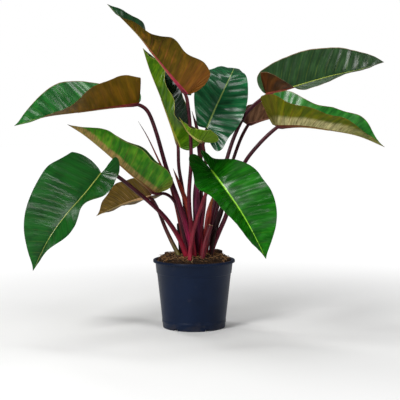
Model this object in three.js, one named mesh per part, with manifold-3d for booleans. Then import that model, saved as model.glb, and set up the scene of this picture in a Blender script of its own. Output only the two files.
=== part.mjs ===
/**
 * A philodendron with wine-red leaf stalks in its plastic nursery pot, as one part.
 *
 * Millimetres, +Z up, the pot standing on z = 0 with its axis on x = y = 0, the front towards -Y.
 * Twelve arrow-shaped blades are each folded about a midrib and bent along it, on a stalk that
 * stands in the potting mix. Between them stand the bud sheaths and the stubs of old stalks.
 */
import * as THREE from "three";
import { mergeVertices } from "three/addons/utils/BufferGeometryUtils.js";
import Module from "manifold-3d";

const wasm = await Module();
wasm.setup();

/** Clearance between pieces, and how far a stem or a blade is grown to leave it at every facet. */
const GAP = 0.3;
const STEM_ROOM = 0.4;
const BLADE_ROOM = 0.6;

// Driving dimensions, pot.
const POT_HEIGHT = 200;
const RIM_RADIUS = 120;
const COLLAR_TOP_RADIUS = 113.5;
const COLLAR_FOOT_RADIUS = 110.3;
const COLLAR_FOOT_HEIGHT = 161;
const WALL_TOP_RADIUS = 108.5;
const BASE_RADIUS = 91.5;
const POT_WALL = 2.5;
const FOOT_RING_HEIGHT = 6;
const POT_FLOOR = 3.5;
const CENTRE_PAD_RADIUS = 30;
const ROUND_SEGMENTS = 40;
const NOTCHES = 6;
const NOTCH_WIDTH = 14;
const NOTCH_HEIGHT = 5.5;
const FIRST_NOTCH_ANGLE = -125;

// Driving dimensions, soil.
const SOIL_EDGE_HEIGHT = 194;
const SOIL_CROWN = 22;
const SOIL_ROUGHNESS = 2.4;
const SOIL_RINGS = [20, 44, 66, 84, 99];
const BARK_PIECES = 7;

// Driving dimensions, stems and blades.
const STEM_SIDES = 8;
const STALK_RINGS = 13;
const SHEATH_RINGS = 9;
const BLADE_ROWS = 16;
const ACROSS = [0, 0.06, 0.5, 1];
const BLADE_THICKNESS = 1.1;
const MARGIN_THICKNESS = 0.8;
const RIDGE_DEPTH = 2.8;
const FAN = 0.3;
const LOBE_REACH = 0.145;
const WAVES = 3;

/** Half of the flat outline, in blade lengths: along the midrib and out from it. */
const OUTLINE = [
  [-0.032, 0.01], [-0.09, 0.045], [-0.145, 0.12], [-0.13, 0.2], [-0.03, 0.27], [0.12, 0.295],
  [0.3, 0.275], [0.5, 0.22], [0.7, 0.145], [0.86, 0.065], [0.95, 0.018], [1, 0],
];

/**
 * The leaves. rib is the midrib from the stalk to the tip, face the way the upper side looks,
 * fold the angle of each half above the flat, wide the width of each half against the outline,
 * all from the stalk to the tip. lobe is the length of each basal lobe against the outline, lift
 * how far it rises, wave the height of the margin's waves, stem the stalk with its end radii.
 * outline stands in for the usual one where the lobes differ.
 */
const LEAVES = [
  {
    name: "left_high",
    rib: [[-158, -40, 657], [-240, -60, 645], [-327, -100, 631], [-414, -150, 618], [-492, -205, 594]],
    face: [[0, 0.15, 1], [0, 0.05, 1], [-0.1, -0.2, 1], [-0.1, -0.6, 0.85], [-0.1, -0.6, 0.8]],
    fold: [[32, 46, 42, 32, 30], [35, 40, 52, 45, 40]],
    wide: [[1, 1.05, 1.05, 1.05, 1.05], [1.05, 1.05, 1.26, 1.26, 1.26]],
    lobe: [0.03, 0.3],
    wave: [0.012, 0.006],
    stem: [[2, -36, 182], [-6, -34, 231], [-20, -34, 289], [-46, -32, 376], [-78, -32, 464],
      [-109, -36, 573], [-132, -38, 631]],
    radii: [10, 5.5],
  },
  {
    name: "top",
    rib: [[-20, -70, 682], [-72, -80, 741], [-118, -100, 797], [-158, -130, 848], [-237, -180, 927]],
    face: [[0.54, 0.64, 0.54], [0.54, 0.64, 0.54], [0.6, 0.4, 0.6], [0.7, -0.2, 0.7], [0.5, -0.7, 0.5]],
    fold: [[57, 58, 56, 48, 45], [50, 46, 38, 38, 42]],
    wide: [[0.95, 0.82, 0.78, 0.4, 0.2], [1, 1, 1, 0.95, 1]],
    lobe: [0.3, 0.3],
    wave: [0.02, 0.012],
    stem: [[8, -62, 182], [0, -62, 228], [-9, -64, 307], [-14, -66, 394], [-8, -68, 494],
      [-11, -70, 594], [-17, -72, 651]],
    radii: [8, 5],
  },
  {
    name: "upright",
    rib: [[-41, 0, 529], [-71, 5, 607], [-99, 12, 680], [-129, 25, 753], [-150, 40, 818]],
    face: [[0.91, -0.19, 0.34]],
    fold: [[75, 28, 36, 50, 55], [30, 35, 48, 52, 50]],
    wide: [[0.9, 0.9, 1, 1.6, 1.5], [0.8, 0.85, 1.1, 1.5, 1.7]],
    lobe: [0.4, 0.4],
    wave: [0.02, 0.012],
    stem: [[-10, 6, 182], [-10, 2, 227], [-21, 0, 300], [-32, 2, 397], [-44, 2, 468]],
    radii: [7, 5],
  },
  {
    name: "back",
    rib: [[38, 60, 583], [62, 72, 639], [89, 95, 696], [111, 140, 741], [122, 200, 764], [120, 260, 754]],
    face: [[0.1, -0.9, 0.35], [0.1, -0.9, 0.35], [0.1, -0.85, 0.45], [0.1, -0.5, 0.8], [0, -0.1, 1]],
    fold: [[15, 15, 8, -3, -5], [15, 15, 8, -3, -5]],
    wide: [[0.4, 0.88, 1.1, 1.05, 1], [0.9, 0.97, 0.92, 0.72, 0.7]],
    lobe: [0.1, 1],
    outline: [
      [-0.032, 0.01], [-0.08, 0.05], [-0.14, 0.12], [-0.17, 0.19], [-0.13, 0.235], [-0.02, 0.25],
      [0.12, 0.285], [0.3, 0.275], [0.5, 0.22], [0.7, 0.145], [0.86, 0.065], [0.95, 0.018],
      [1, 0],
    ],
    wave: [0.012, 0.012],
    stem: [[6, 26, 182], [6, 26, 230], [3, 26, 313], [3, 28, 401], [20, 44, 504]],
    radii: [7, 5],
  },
  {
    name: "right_high",
    rib: [[213, 70, 684], [290, 65, 704], [401, 62, 736], [483, 75, 754], [568, 110, 779]],
    face: [[-0.2, -0.55, 0.8]],
    fold: [[23, 23, 23, 23, 23], [103, 20, 27, 32, 32]],
    wide: [[0.85, 1, 1, 1, 1], [0.72, 0.88, 0.82, 0.6, 0.3]],
    lobe: [0.3, 0.05],
    outline: [
      [-0.032, 0.01], [-0.09, 0.045], [-0.145, 0.12], [-0.13, 0.2], [-0.03, 0.25], [0.12, 0.29],
      [0.3, 0.3], [0.5, 0.285], [0.7, 0.245], [0.86, 0.17], [0.95, 0.09], [1, 0],
    ],
    wave: [0.004, 0.008],
    stem: [[28, -6, 182], [32, -2, 227], [44, 6, 285], [62, 22, 372], [94, 42, 483], [121, 52, 563],
      [157, 60, 630]],
    radii: [8, 5.5],
  },
  {
    name: "right_low",
    rib: [[235, -60, 591], [311, -75, 591], [386, -90, 580], [464, -105, 564], [538, -120, 533]],
    face: [[0, -0.13, 0.99]],
    fold: [[60, 72, 62, 68, 50], [78, 58, 55, 50, 40]],
    wide: [[1.1, 1.1, 0.9, 0.72, 0.98, 1.15, 1.3, 1.2, 1.1], [1, 0.74, 0.88, 0.95, 1]],
    lobe: [0.4, 1],
    outline: [
      [-0.032, 0.01], [-0.06, 0.07], [-0.09, 0.15], [-0.125, 0.24], [-0.12, 0.285], [-0.04, 0.3],
      [0.12, 0.295], [0.3, 0.275], [0.5, 0.22], [0.7, 0.145], [0.86, 0.065], [0.95, 0.018],
      [1, 0],
    ],
    wave: [0.012, 0.012],
    stem: [[42, -20, 182], [52, -18, 229], [73, -18, 282], [93, -20, 329], [116, -28, 402],
      [144, -42, 481], [187, -54, 539]],
    radii: [8, 5.5],
  },
  {
    name: "left_front",
    rib: [[-260, -140, 461], [-299, -175, 410], [-353, -200, 348], [-400, -220, 281], [-442, -225, 196]],
    face: [[-0.42, -0.84, 0.33]],
    fold: [[20, 18, 50, 25, 15, 40, 40], [32, 32, 32]],
    wide: [[0.78, 1, 1, 1, 1], [1.05, 1.32, 1.5, 1.7, 1.9]],
    lobe: [0.85, 0.28],
    lift: [0.1, 0],
    wave: [0.012, 0.004],
    stem: [[-14, -58, 182], [-23, -62, 220], [-40, -64, 263], [-66, -70, 307], [-97, -80, 346],
      [-153, -104, 399], [-221, -134, 455]],
    radii: [8, 5.5],
  },
  {
    name: "left_middle",
    rib: [[-113, -35, 400], [-172, -52, 446], [-217, -72, 486], [-263, -94, 528], [-309, -118, 567],
      [-353, -140, 597]],
    face: [[0.65, -0.1, 0.75]],
    fold: [[50, 54, 58, 60, 60], [44, 44, 48, 44, 44]],
    wide: [[1.05, 1.1, 1.2, 1.45, 1.6], [0.95, 1.05, 1.05, 0.85, 0.8]],
    lobe: [0.35, 0.3],
    wave: [0.012, 0.012],
    stem: [[-18, -28, 182], [-22, -18, 240], [-32, -12, 290], [-45, -10, 345], [-62, -16, 378],
      [-84, -26, 394]],
    radii: [8, 4.5],
  },
  {
    name: "left_back",
    rib: [[-132, 70, 380], [-178, 100, 366], [-232, 135, 345], [-303, 180, 310]],
    face: [[0, 0, 1]],
    fold: [[60, 64, 62, 45, 45], [-2, -4, -4, 0, 0]],
    wide: [[1, 1.15, 1.3, 1.25, 1.1], [0.95, 0.95]],
    lobe: [0.8, 0.5],
    wave: [0.012, 0.012],
    stem: [[-32, -62, 182], [-42, -52, 213], [-64, -34, 254], [-85, -12, 296], [-103, 18, 337],
      [-119, 50, 364]],
    radii: [7.5, 5],
  },
  {
    name: "front",
    rib: [[51, -140, 467], [90, -170, 415], [131, -200, 356], [166, -220, 295], [199, -225, 229]],
    face: [[0.35, -0.9, 0.26]],
    fold: [[95, 45, 25, 25, 25, 22, 25, 25, 25], [32, 28, 40, 38, 38, 40, 40]],
    wide: [[0.72, 0.93, 1.26, 1.28, 1.57, 1.78, 1.86, 2.1, 2.5], [1.05, 1.3, 1.2, 1.2, 1.2]],
    lobe: [1.2, 1.3],
    outline: [
      [-0.032, 0.004], [-0.09, 0.01], [-0.15, 0.035], [-0.17, 0.11], [-0.13, 0.19], [-0.03, 0.26],
      [0.12, 0.295], [0.3, 0.275], [0.5, 0.22], [0.7, 0.145], [0.86, 0.065], [0.95, 0.018],
      [1, 0],
    ],
    wave: [0.012, 0.012],
    stem: [[-12, -84, 182], [-11, -84, 211], [-8, -84, 251], [3, -88, 306], [26, -106, 377],
      [46, -130, 435]],
    radii: [7.5, 5],
  },
  {
    name: "small",
    rib: [[26, -110, 547], [6, -130, 556], [-19, -155, 579], [-40, -180, 618]],
    face: [[0.3, 0.6, 0.7]],
    fold: [[30, 30], [50, 50]],
    wide: [[1.25, 1.2, 0.8, 0.5, 0.5], [1, 1]],
    lobe: [2.2, 0.5],
    wave: [0.012, 0.012],
    stem: [[18, -46, 182], [19, -48, 221], [23, -54, 297], [32, -66, 379], [35, -88, 467]],
    radii: [6, 4],
  },
  {
    name: "right_back",
    rib: [[159, 120, 594], [231, 160, 612], [310, 200, 627], [384, 240, 629]],
    face: [[0, 0.3, 0.9]],
    fold: [[45, 55, 66, 66, 60], [50, 48, 38, 38, 38]],
    wide: [[0.6, 0.9, 1, 1, 1], [0.85, 0.85, 0.9, 0.9, 0.9]],
    lobe: [0.1, 0.4],
    wave: [0.012, 0.012],
    stem: [[30, 30, 182], [38, 34, 235], [53, 42, 293], [71, 52, 355], [95, 68, 428], [116, 84, 487],
      [138, 104, 546]],
    radii: [7.5, 5],
  },
];

/** Bud sheaths and stubs of old stalks: route, radii along it, thickness over width, colour. */
const SHEATHS = [
  {
    name: "sheath_needle",
    route: [[-26, 0, 182], [-29, 2, 226], [-47, 8, 329], [-70, 6, 418], [-93, 0, 468], [-134, 4, 555],
      [-163, 8, 604]],
    radii: [6, 5, 4.5, 3.5, 2, 0.8],
    flat: 0.6,
    colour: 0xa8402a,
  },
  {
    name: "sheath_orange",
    route: [[-2, -16, 182], [-4, -20, 240], [-9, -24, 303], [-20, -22, 361], [-38, -20, 410],
      [-61, -16, 468]],
    radii: [7, 7.5, 8, 8, 6, 1],
    flat: 0.5,
    colour: 0xa8341c,
  },
  {
    name: "sheath_magenta",
    route: [[6, 4, 182], [10, 0, 225], [12, -4, 301], [9, -6, 360], [9, -6, 410], [12, -6, 462]],
    radii: [8, 9, 10, 10, 7, 1.5],
    flat: 0.6,
    colour: 0x8a2350,
  },
  {
    name: "sheath_red",
    route: [[32, -36, 182], [34, -32, 222], [37, -27, 288], [45, -20, 346], [55, -16, 387]],
    radii: [6, 7, 8.5, 8.5, 2],
    flat: 0.5,
    colour: 0xa3281c,
  },
  {
    name: "sheath_withered",
    route: [[46, 2, 182], [50, -3, 232], [60, -8, 285], [80, -7, 345], [93, -8, 388]],
    radii: [5, 6, 8, 8, 2],
    flat: 0.5,
    colour: 0x3a1420,
  },
  {
    name: "sheath_maroon",
    route: [[22, 14, 182], [24, 16, 230], [22, 8, 344], [20, 0, 462], [12, -8, 564], [-6, -12, 634]],
    radii: [6, 6, 5, 6, 8, 1],
    flat: 0.5,
    colour: 0x5a1428,
  },
  {
    name: "stub_cut",
    route: [[22, -74, 182], [28, -70, 235], [38, -66, 275], [49, -64, 307]],
    radii: [8, 8, 7.5, 7],
    flat: 0.9,
    colour: 0x8c1f35,
  },
  {
    name: "stub_old",
    route: [[-36, -22, 182], [-40, -26, 245], [-48, -30, 308]],
    radii: [7, 6, 2.5],
    flat: 0.7,
    colour: 0x35141a,
  },
  {
    name: "stub_dark",
    route: [[46, -42, 182], [52, -42, 232], [58, -44, 266], [66, -44, 298]],
    radii: [5, 5, 4.5, 1.5],
    flat: 0.6,
    colour: 0x35141a,
  },
];

// Numbers and curves.
const BACK = new THREE.Vector3(0, 1, 0);
const { clamp, degToRad, lerp } = THREE.MathUtils;

/** A vector from a list of coordinates. */
const vector = (list) => new THREE.Vector3(...list);

/** A smooth curve through points given as lists of coordinates. */
function smooth(points) {
  const curve = new THREE.CatmullRomCurve3(points.map(vector), false, "catmullrom", 0.5);
  curve.arcLengthDivisions = 400;
  return curve;
}

/** The value at t, 0 to 1, of numbers spread evenly over 0 to 1. */
function keyed(keys, t) {
  if (keys.length === 1) return keys[0];
  const place = clamp(t, 0, 1) * (keys.length - 1);
  const i = Math.min(Math.floor(place), keys.length - 2);
  return lerp(keys[i], keys[i + 1], place - i);
}

/** A repeatable source of numbers from 0 to 1. */
function seeded(seed) {
  let state = seed;
  return () => {
    state = (state * 1664525 + 1013904223) % 4294967296;
    return state / 4294967296;
  };
}

// Solids.
/** The geometry of a list of points and a list of triangles. */
function sheetGeometry(points, triangles) {
  const geometry = new THREE.BufferGeometry().setFromPoints(points);
  geometry.setIndex(triangles.flat());
  return geometry;
}

/** A closed geometry as a solid that can be joined and cut. */
function solid(geometry) {
  const plain = geometry.clone();
  plain.deleteAttribute("normal");
  plain.deleteAttribute("uv");
  const merged = mergeVertices(plain, 1e-4);
  const corners = [];
  for (let k = 0; k < merged.index.count; k += 3) {
    const [a, b, c] = [0, 1, 2].map((n) => merged.index.getX(k + n));
    if (a !== b && b !== c && c !== a) corners.push(a, b, c);
  }
  return new wasm.Manifold(new wasm.Mesh({
    numProp: 3,
    vertProperties: new Float32Array(merged.attributes.position.array),
    triVerts: new Uint32Array(corners),
  }));
}

/** The largest connected piece of a solid. */
function largest(body) {
  return body.decompose().reduce((a, b) => (b.volume() > a.volume() ? b : a));
}

/** A named mesh from a solid. */
function named(body, name, color, roughness) {
  const { vertProperties, triVerts } = body.getMesh();
  const indexed = new THREE.BufferGeometry();
  indexed.setAttribute("position", new THREE.BufferAttribute(vertProperties, 3));
  indexed.setIndex(new THREE.BufferAttribute(triVerts, 1));
  const geometry = indexed.toNonIndexed();
  geometry.computeVertexNormals();
  const mesh = new THREE.Mesh(geometry, new THREE.MeshStandardMaterial({ color, roughness, metalness: 0 }));
  mesh.name = name;
  return mesh;
}

/** A closed geometry with every corner moved out, so that each face lies at least distance further out. */
function grown(geometry, distance) {
  const position = geometry.attributes.position;
  const faces = Array.from({ length: position.count }, () => []);
  for (let k = 0; k < geometry.index.count; k += 3) {
    const ids = [0, 1, 2].map((n) => geometry.index.getX(k + n));
    const corners = ids.map((id) => new THREE.Vector3().fromBufferAttribute(position, id));
    const normal = new THREE.Triangle(...corners).getNormal(new THREE.Vector3());
    ids.forEach((id) => faces[id].push(normal));
  }
  const points = faces.map((normals, id) => {
    const mean = normals.reduce((sum, normal) => sum.add(normal), new THREE.Vector3()).normalize();
    const least = Math.max(Math.min(...normals.map((normal) => normal.dot(mean))), 0.3);
    return new THREE.Vector3().fromBufferAttribute(position, id).addScaledVector(mean, distance / least);
  });
  const out = new THREE.BufferGeometry().setFromPoints(points);
  out.setIndex(geometry.index);
  return out;
}

/** A solid of revolution about z from a profile of [radius, height] that starts and ends on the axis. */
function turned(profile) {
  const points = profile.map(([radius, height]) => new THREE.Vector2(radius, height));
  return new THREE.LatheGeometry(points, ROUND_SEGMENTS).rotateX(Math.PI / 2);
}

/** A box turned by three angles in degrees and placed. */
function block(size, angles, place) {
  const turn = new THREE.Euler(...angles.map(degToRad), "ZYX");
  const move = new THREE.Matrix4().makeRotationFromEuler(turn).setPosition(...place);
  return solid(new THREE.BoxGeometry(...size).applyMatrix4(move));
}

/** A closed rod through rings of points, each ring given by its centre, two directions and two radii. */
function ringed(rings, sides) {
  const points = rings.flatMap(({ centre, across, through, wide, deep }) => (
    Array.from({ length: sides }, (_, j) => {
      const angle = (2 * Math.PI * j) / sides;
      const point = centre.clone().addScaledVector(across, wide * Math.cos(angle));
      return point.addScaledVector(through, deep * Math.sin(angle));
    })));
  const triangles = [];
  const last = (rings.length - 1) * sides;
  for (let first = 0; first < last; first += sides) {
    for (let j = 0; j < sides; j += 1) {
      const n = (j + 1) % sides;
      const [a, b, c, d] = [first + j, first + n, first + sides + n, first + sides + j];
      triangles.push([a, b, c], [a, c, d]);
    }
  }
  for (let j = 1; j < sides - 1; j += 1) {
    triangles.push([0, j + 1, j]);
    triangles.push([last, last + j, last + j + 1]);
  }
  return sheetGeometry(points, triangles);
}

/** The rings of a rod at fractions of the length of a route, with its radii there. */
function ringsAlong(route, fractions, radiusAt, flat, grow) {
  const curve = smooth(route);
  return fractions.map((t, k) => {
    const tangent = curve.getTangentAt(t);
    const across = new THREE.Vector3().crossVectors(BACK, tangent).normalize();
    const through = new THREE.Vector3().crossVectors(tangent, across);
    const end = k === 0 ? -grow : k === fractions.length - 1 ? grow : 0;
    const centre = curve.getPointAt(t).addScaledVector(tangent, end);
    const radius = radiusAt(t);
    return { centre, across, through, wide: radius + grow, deep: radius * flat + grow };
  });
}

// Leaves.
/** The midrib of a leaf: its curve, with the direction that the upper side looks along it. */
class Midrib {
  constructor({ rib, face }) {
    this.curve = smooth(rib);
    this.length = this.curve.getLength();
    this.face = face;
    this.start = this.curve.getTangentAt(0);
  }

  point(t) {
    return this.curve.getPointAt(clamp(t, 0, 1));
  }

  tangent(t) {
    return this.curve.getTangentAt(clamp(t, 0, 1));
  }

  normal(t) {
    const look = [0, 1, 2].map((axis) => keyed(this.face.map((way) => way[axis]), t));
    const tangent = this.tangent(t);
    const way = vector(look).normalize();
    return way.addScaledVector(tangent, -way.dot(tangent)).normalize();
  }
}

/** A place on a blade: side 0 left or 1 right, u from sinus to tip, s from rib to margin. */
function bladePlace(leaf, rib, edge, side, u, s) {
  const sign = side === 0 ? 1 : -1;
  const reach = edge.x < 0 ? edge.x * leaf.lobe[side] : edge.x;
  const along = clamp((u - FAN) / (1 - FAN), 0, 1);
  const ribAlong = 0.9 * along ** 1.15 + 0.1 * along ** 3;
  const x = ribAlong + (reach - ribAlong) * s ** 1.25;
  const y = edge.y * keyed(leaf.wide[side], edge.x) * s;
  const fold = degToRad(keyed(leaf.fold[side], x));
  const back = Math.min(x, 0);
  const lobeLift = leaf.lift ? leaf.lift[side] * (back / LOBE_REACH) ** 2 : 0;
  const phase = side === 0 ? 0 : 0.4;
  const fade = s * s * clamp((x + 0.1) * 5, 0, 1) * clamp((1 - x) * 6, 0, 1);
  const wave = leaf.wave[side] * Math.sin(2 * Math.PI * (WAVES * x + phase)) * fade;
  const normal = rib.normal(x);
  const left = new THREE.Vector3().crossVectors(normal, rib.tangent(x)).normalize();
  const point = rib.point(x)
    .addScaledVector(rib.start, back * rib.length)
    .addScaledVector(left, sign * y * Math.cos(fold) * rib.length)
    .addScaledVector(normal, (y * Math.sin(fold) + lobeLift + wave) * rib.length);
  const facing = normal.clone().multiplyScalar(Math.cos(fold)).addScaledVector(left, -sign * Math.sin(fold));
  return { point, facing, x };
}

/** The geometry of a blade: a closed waved sheet with a ridge under its midrib. */
function bladeGeometry(leaf) {
  const rib = new Midrib(leaf);
  const margin = smooth((leaf.outline ?? OUTLINE).map(([x, y]) => [x, y, 0])).getSpacedPoints(BLADE_ROWS);
  const half = ACROSS.length - 1;
  const columns = 2 * half + 1;
  const fanRows = Math.floor(FAN * BLADE_ROWS);
  const known = new Map();
  const upper = [];
  const lower = [];
  const index = margin.map((edge, i) => Array.from({ length: columns }, (_, j) => {
    const out = Math.abs(j - half);
    const nearStalk = (i <= fanRows && out === 1) || (i === 0 && out < half);
    const s = nearStalk ? 0 : ACROSS[out];
    const u = i / BLADE_ROWS;
    const [left, right] = [0, 1].map((side) => bladePlace(leaf, rib, edge, side, u, s));
    const here = j < half ? left : right;
    const key = here.point.toArray().map((v) => v.toFixed(3)).join(" ");
    if (known.has(key)) return known.get(key);
    const middle = s === 0 || i === BLADE_ROWS;
    const facing = middle ? left.facing.add(right.facing).normalize() : here.facing;
    const sheet = lerp(BLADE_THICKNESS, MARGIN_THICKNESS, Math.max(s, here.x ** 3));
    const ridge = s === 0 && i > fanRows ? RIDGE_DEPTH * (1 - here.x) ** 0.7 : 0;
    upper.push(here.point);
    lower.push(here.point.clone().addScaledVector(facing, -Math.max(sheet, ridge)));
    known.set(key, upper.length - 1);
    return upper.length - 1;
  }));

  const top = [];
  for (let i = 0; i < BLADE_ROWS; i += 1) {
    for (let j = 0; j < columns - 1; j += 1) {
      const [a, b, c, d] = [index[i][j], index[i + 1][j], index[i + 1][j + 1], index[i][j + 1]];
      const short = upper[a].distanceTo(upper[c]) <= upper[b].distanceTo(upper[d]);
      const pair = short ? [[a, d, c], [a, c, b]] : [[a, d, b], [b, d, c]];
      top.push(...pair.filter(([p, q, r]) => p !== q && q !== r && r !== p));
    }
  }
  const count = upper.length;
  const bottom = top.map(([a, b, c]) => [a + count, c + count, b + count]);
  const sides = top.flatMap(([a, b, c]) => [[a, b], [b, c], [c, a]]);
  const inner = new Set(sides.map(([p, q]) => `${q} ${p}`));
  const rim = sides.filter(([p, q]) => !inner.has(`${p} ${q}`));
  const walls = rim.flatMap(([p, q]) => [[q, p, p + count], [q, p + count, q + count]]);
  return sheetGeometry([...upper, ...lower], [...top, ...bottom, ...walls]);
}

/** A leaf stalk: up from the soil, under the base of its blade and a little way along the rib. */
function stalk(leaf, grow = 0) {
  const rib = new Midrib(leaf);
  const [foot, neck] = leaf.radii;
  const below = (t, depth) => rib.point(t).addScaledVector(rib.normal(t), -depth).toArray();
  const route = [...leaf.stem, below(0, neck + BLADE_THICKNESS), below(0.07, neck * 0.5 + RIDGE_DEPTH)];
  const fractions = Array.from({ length: STALK_RINGS + 1 }, (_, k) => 1 - (1 - k / STALK_RINGS) ** 1.5);
  const radiusAt = (t) => lerp(neck, foot, (1 - t) ** 2) * (1 - 0.5 * clamp((t - 0.955) / 0.045, 0, 1));
  return solid(ringed(ringsAlong(route, fractions, radiusAt, 1, grow), STEM_SIDES));
}

/** A bud sheath or a stub: a rod that is flatter than it is wide. */
function sheath({ route, radii, flat }, grow = 0) {
  const fractions = Array.from({ length: SHEATH_RINGS + 1 }, (_, k) => k / SHEATH_RINGS);
  const radiusAt = (t) => keyed(radii, t);
  return solid(ringed(ringsAlong(route, fractions, radiusAt, flat, grow), STEM_SIDES));
}

// Pot and soil.
const INNER_FLOOR = FOOT_RING_HEIGHT + POT_FLOOR;

/** The inside of the pot from its floor to its brim. */
const INSIDE = [
  [BASE_RADIUS - 3.5, INNER_FLOOR],
  [BASE_RADIUS - 0.4, INNER_FLOOR + 3],
  [WALL_TOP_RADIUS - POT_WALL, COLLAR_FOOT_HEIGHT - 3],
  [COLLAR_FOOT_RADIUS - POT_WALL, COLLAR_FOOT_HEIGHT - 2],
  [COLLAR_TOP_RADIUS - POT_WALL, POT_HEIGHT - 2.5],
];

/** The pot: turned shell with lip, collar, foot ring and drainage notches. */
function pot() {
  const shell = solid(turned([
    [0, 0],
    [CENTRE_PAD_RADIUS, 0],
    [CENTRE_PAD_RADIUS, FOOT_RING_HEIGHT],
    [BASE_RADIUS - 4.5, FOOT_RING_HEIGHT],
    [BASE_RADIUS - 4, 0],
    [BASE_RADIUS - 0.6, 0],
    [BASE_RADIUS, 0.8],
    [BASE_RADIUS + 1.2, 15],
    [BASE_RADIUS + 2.4, 16.5],
    [BASE_RADIUS + 2.8, 22.5],
    [BASE_RADIUS + 2.2, 24],
    [WALL_TOP_RADIUS, COLLAR_FOOT_HEIGHT - 1],
    [COLLAR_FOOT_RADIUS, COLLAR_FOOT_HEIGHT],
    [COLLAR_TOP_RADIUS, POT_HEIGHT - 8],
    [RIM_RADIUS - 1.2, POT_HEIGHT - 7.5],
    [RIM_RADIUS, POT_HEIGHT - 6.5],
    [RIM_RADIUS, POT_HEIGHT - 1.5],
    [RIM_RADIUS - 1.6, POT_HEIGHT],
    [COLLAR_TOP_RADIUS, POT_HEIGHT],
    ...[...INSIDE].reverse(),
    [0, INNER_FLOOR],
  ]));
  const middle = BASE_RADIUS - 2;
  return Array.from({ length: NOTCHES }, (_, k) => {
    const angle = FIRST_NOTCH_ANGLE + (360 * k) / NOTCHES;
    const [x, y] = [middle * Math.cos(degToRad(angle)), middle * Math.sin(degToRad(angle))];
    return block([16, NOTCH_WIDTH, 2 * NOTCH_HEIGHT], [0, 0, angle], [x, y, 0]);
  }).reduce((body, notch) => body.subtract(notch), shell);
}

/** Height of the heaped soil at a place, with its roughness. */
function heap(x, y) {
  const radius = Math.hypot(x, y);
  const edge = COLLAR_TOP_RADIUS - POT_WALL;
  const rough = Math.sin(0.31 * x + 0.9) * Math.cos(0.27 * y) + 0.8 * Math.sin(0.17 * x - 0.23 * y);
  const smoothTop = SOIL_EDGE_HEIGHT + SOIL_CROWN * (1 - (radius / edge) ** 5);
  return smoothTop + rough * SOIL_ROUGHNESS * clamp((edge - radius) / 8, 0, 1);
}

/** The soil: fills the pot, heaped in the middle, rough, with pieces of bark in its top. */
function soil() {
  const wall = INSIDE.slice(0, 4).map(([radius, height]) => [radius - GAP - 0.05, height + GAP]);
  const [ledge, brim] = INSIDE.slice(3);
  const rise = (SOIL_EDGE_HEIGHT - ledge[1]) / (brim[1] - ledge[1]);
  const edge = lerp(ledge[0], brim[0], rise) - GAP - 0.1;
  const profile = [
    [0, INNER_FLOOR + GAP],
    ...wall,
    [edge, SOIL_EDGE_HEIGHT],
    ...[...SOIL_RINGS].reverse().map((radius) => [radius, SOIL_EDGE_HEIGHT + 1]),
    [0, SOIL_EDGE_HEIGHT + 1],
  ];
  const geometry = turned(profile);
  const position = geometry.attributes.position;
  for (let k = 0; k < position.count; k += 1) {
    if (position.getZ(k) > SOIL_EDGE_HEIGHT + 0.5) {
      position.setZ(k, heap(position.getX(k), position.getY(k)));
    }
  }
  const random = seeded(11);
  const bark = [[70, 22, 26, 16, 20], [-80, 6, 16, 11, 14]];
  for (let k = 0; k < BARK_PIECES; k += 1) {
    const angle = random() * 2 * Math.PI;
    const radius = 62 + random() * 34;
    const long = 9 + random() * 9;
    bark.push([radius * Math.cos(angle), radius * Math.sin(angle), long, long * 0.6, long * 0.5]);
  }
  return bark.reduce((body, [x, y, long, broad, high]) => {
    const turn = [random() * 50 - 25, random() * 50 - 25, random() * 180];
    return body.add(block([long, broad, high], turn, [x, y, heap(x, y) + high * 0.15]));
  }, solid(geometry));
}

// The part.
const part = new THREE.Group();
const plant = new THREE.Group();
let mixture = soil();

for (const leaf of LEAVES) {
  const group = new THREE.Group();
  const geometry = bladeGeometry(leaf);
  const rod = largest(stalk(leaf).subtract(solid(grown(geometry, BLADE_ROOM))));
  mixture = mixture.subtract(stalk(leaf, STEM_ROOM));
  group.add(named(rod, `stalk_${leaf.name}`, 0x6b1f35, 0.45));
  group.add(named(solid(geometry), `blade_${leaf.name}`, 0x1f5a2c, 0.35));
  plant.add(group);
}
for (const piece of SHEATHS) {
  mixture = mixture.subtract(sheath(piece, STEM_ROOM));
  plant.add(named(sheath(piece), piece.name, piece.colour, 0.5));
}

part.add(named(pot(), "pot", 0x23304b, 0.5));
part.add(named(largest(mixture), "soil", 0x3a2517, 0.95));
part.add(plant);

export default part;
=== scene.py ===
"""A philodendron with wine-red leaf stalks in its nursery pot, dressed for its looks.

Sizes are in millimetres and become metres where a mesh is made. +Z is up, the pot stands on
z = 0 with its axis on x = y = 0, and the front looks towards -Y. Each blade is folded about a
midrib and bent along it. The stalks, bud sheaths and roots are swept along routes.
"""

import logging
import math
from collections.abc import Callable, Iterator, Sequence
from dataclasses import dataclass, field, replace
from enum import Enum
from typing import Union

import bmesh
import bpy
import numpy as np
from mathutils import Euler, Matrix, Vector, noise


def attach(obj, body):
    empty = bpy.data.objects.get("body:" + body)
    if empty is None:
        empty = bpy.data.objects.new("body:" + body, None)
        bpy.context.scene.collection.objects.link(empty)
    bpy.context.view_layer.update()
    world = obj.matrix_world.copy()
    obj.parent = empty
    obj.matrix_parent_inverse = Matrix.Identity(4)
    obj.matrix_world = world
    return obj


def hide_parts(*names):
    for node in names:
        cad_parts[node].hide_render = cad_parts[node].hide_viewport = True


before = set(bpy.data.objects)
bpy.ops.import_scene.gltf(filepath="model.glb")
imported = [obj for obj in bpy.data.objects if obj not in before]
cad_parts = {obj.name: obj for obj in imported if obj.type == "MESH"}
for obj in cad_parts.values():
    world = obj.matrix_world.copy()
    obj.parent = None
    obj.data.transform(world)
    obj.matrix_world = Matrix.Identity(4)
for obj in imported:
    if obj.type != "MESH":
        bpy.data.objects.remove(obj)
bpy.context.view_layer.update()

LOG = logging.getLogger("philodendron")
MM = 0.001
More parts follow.
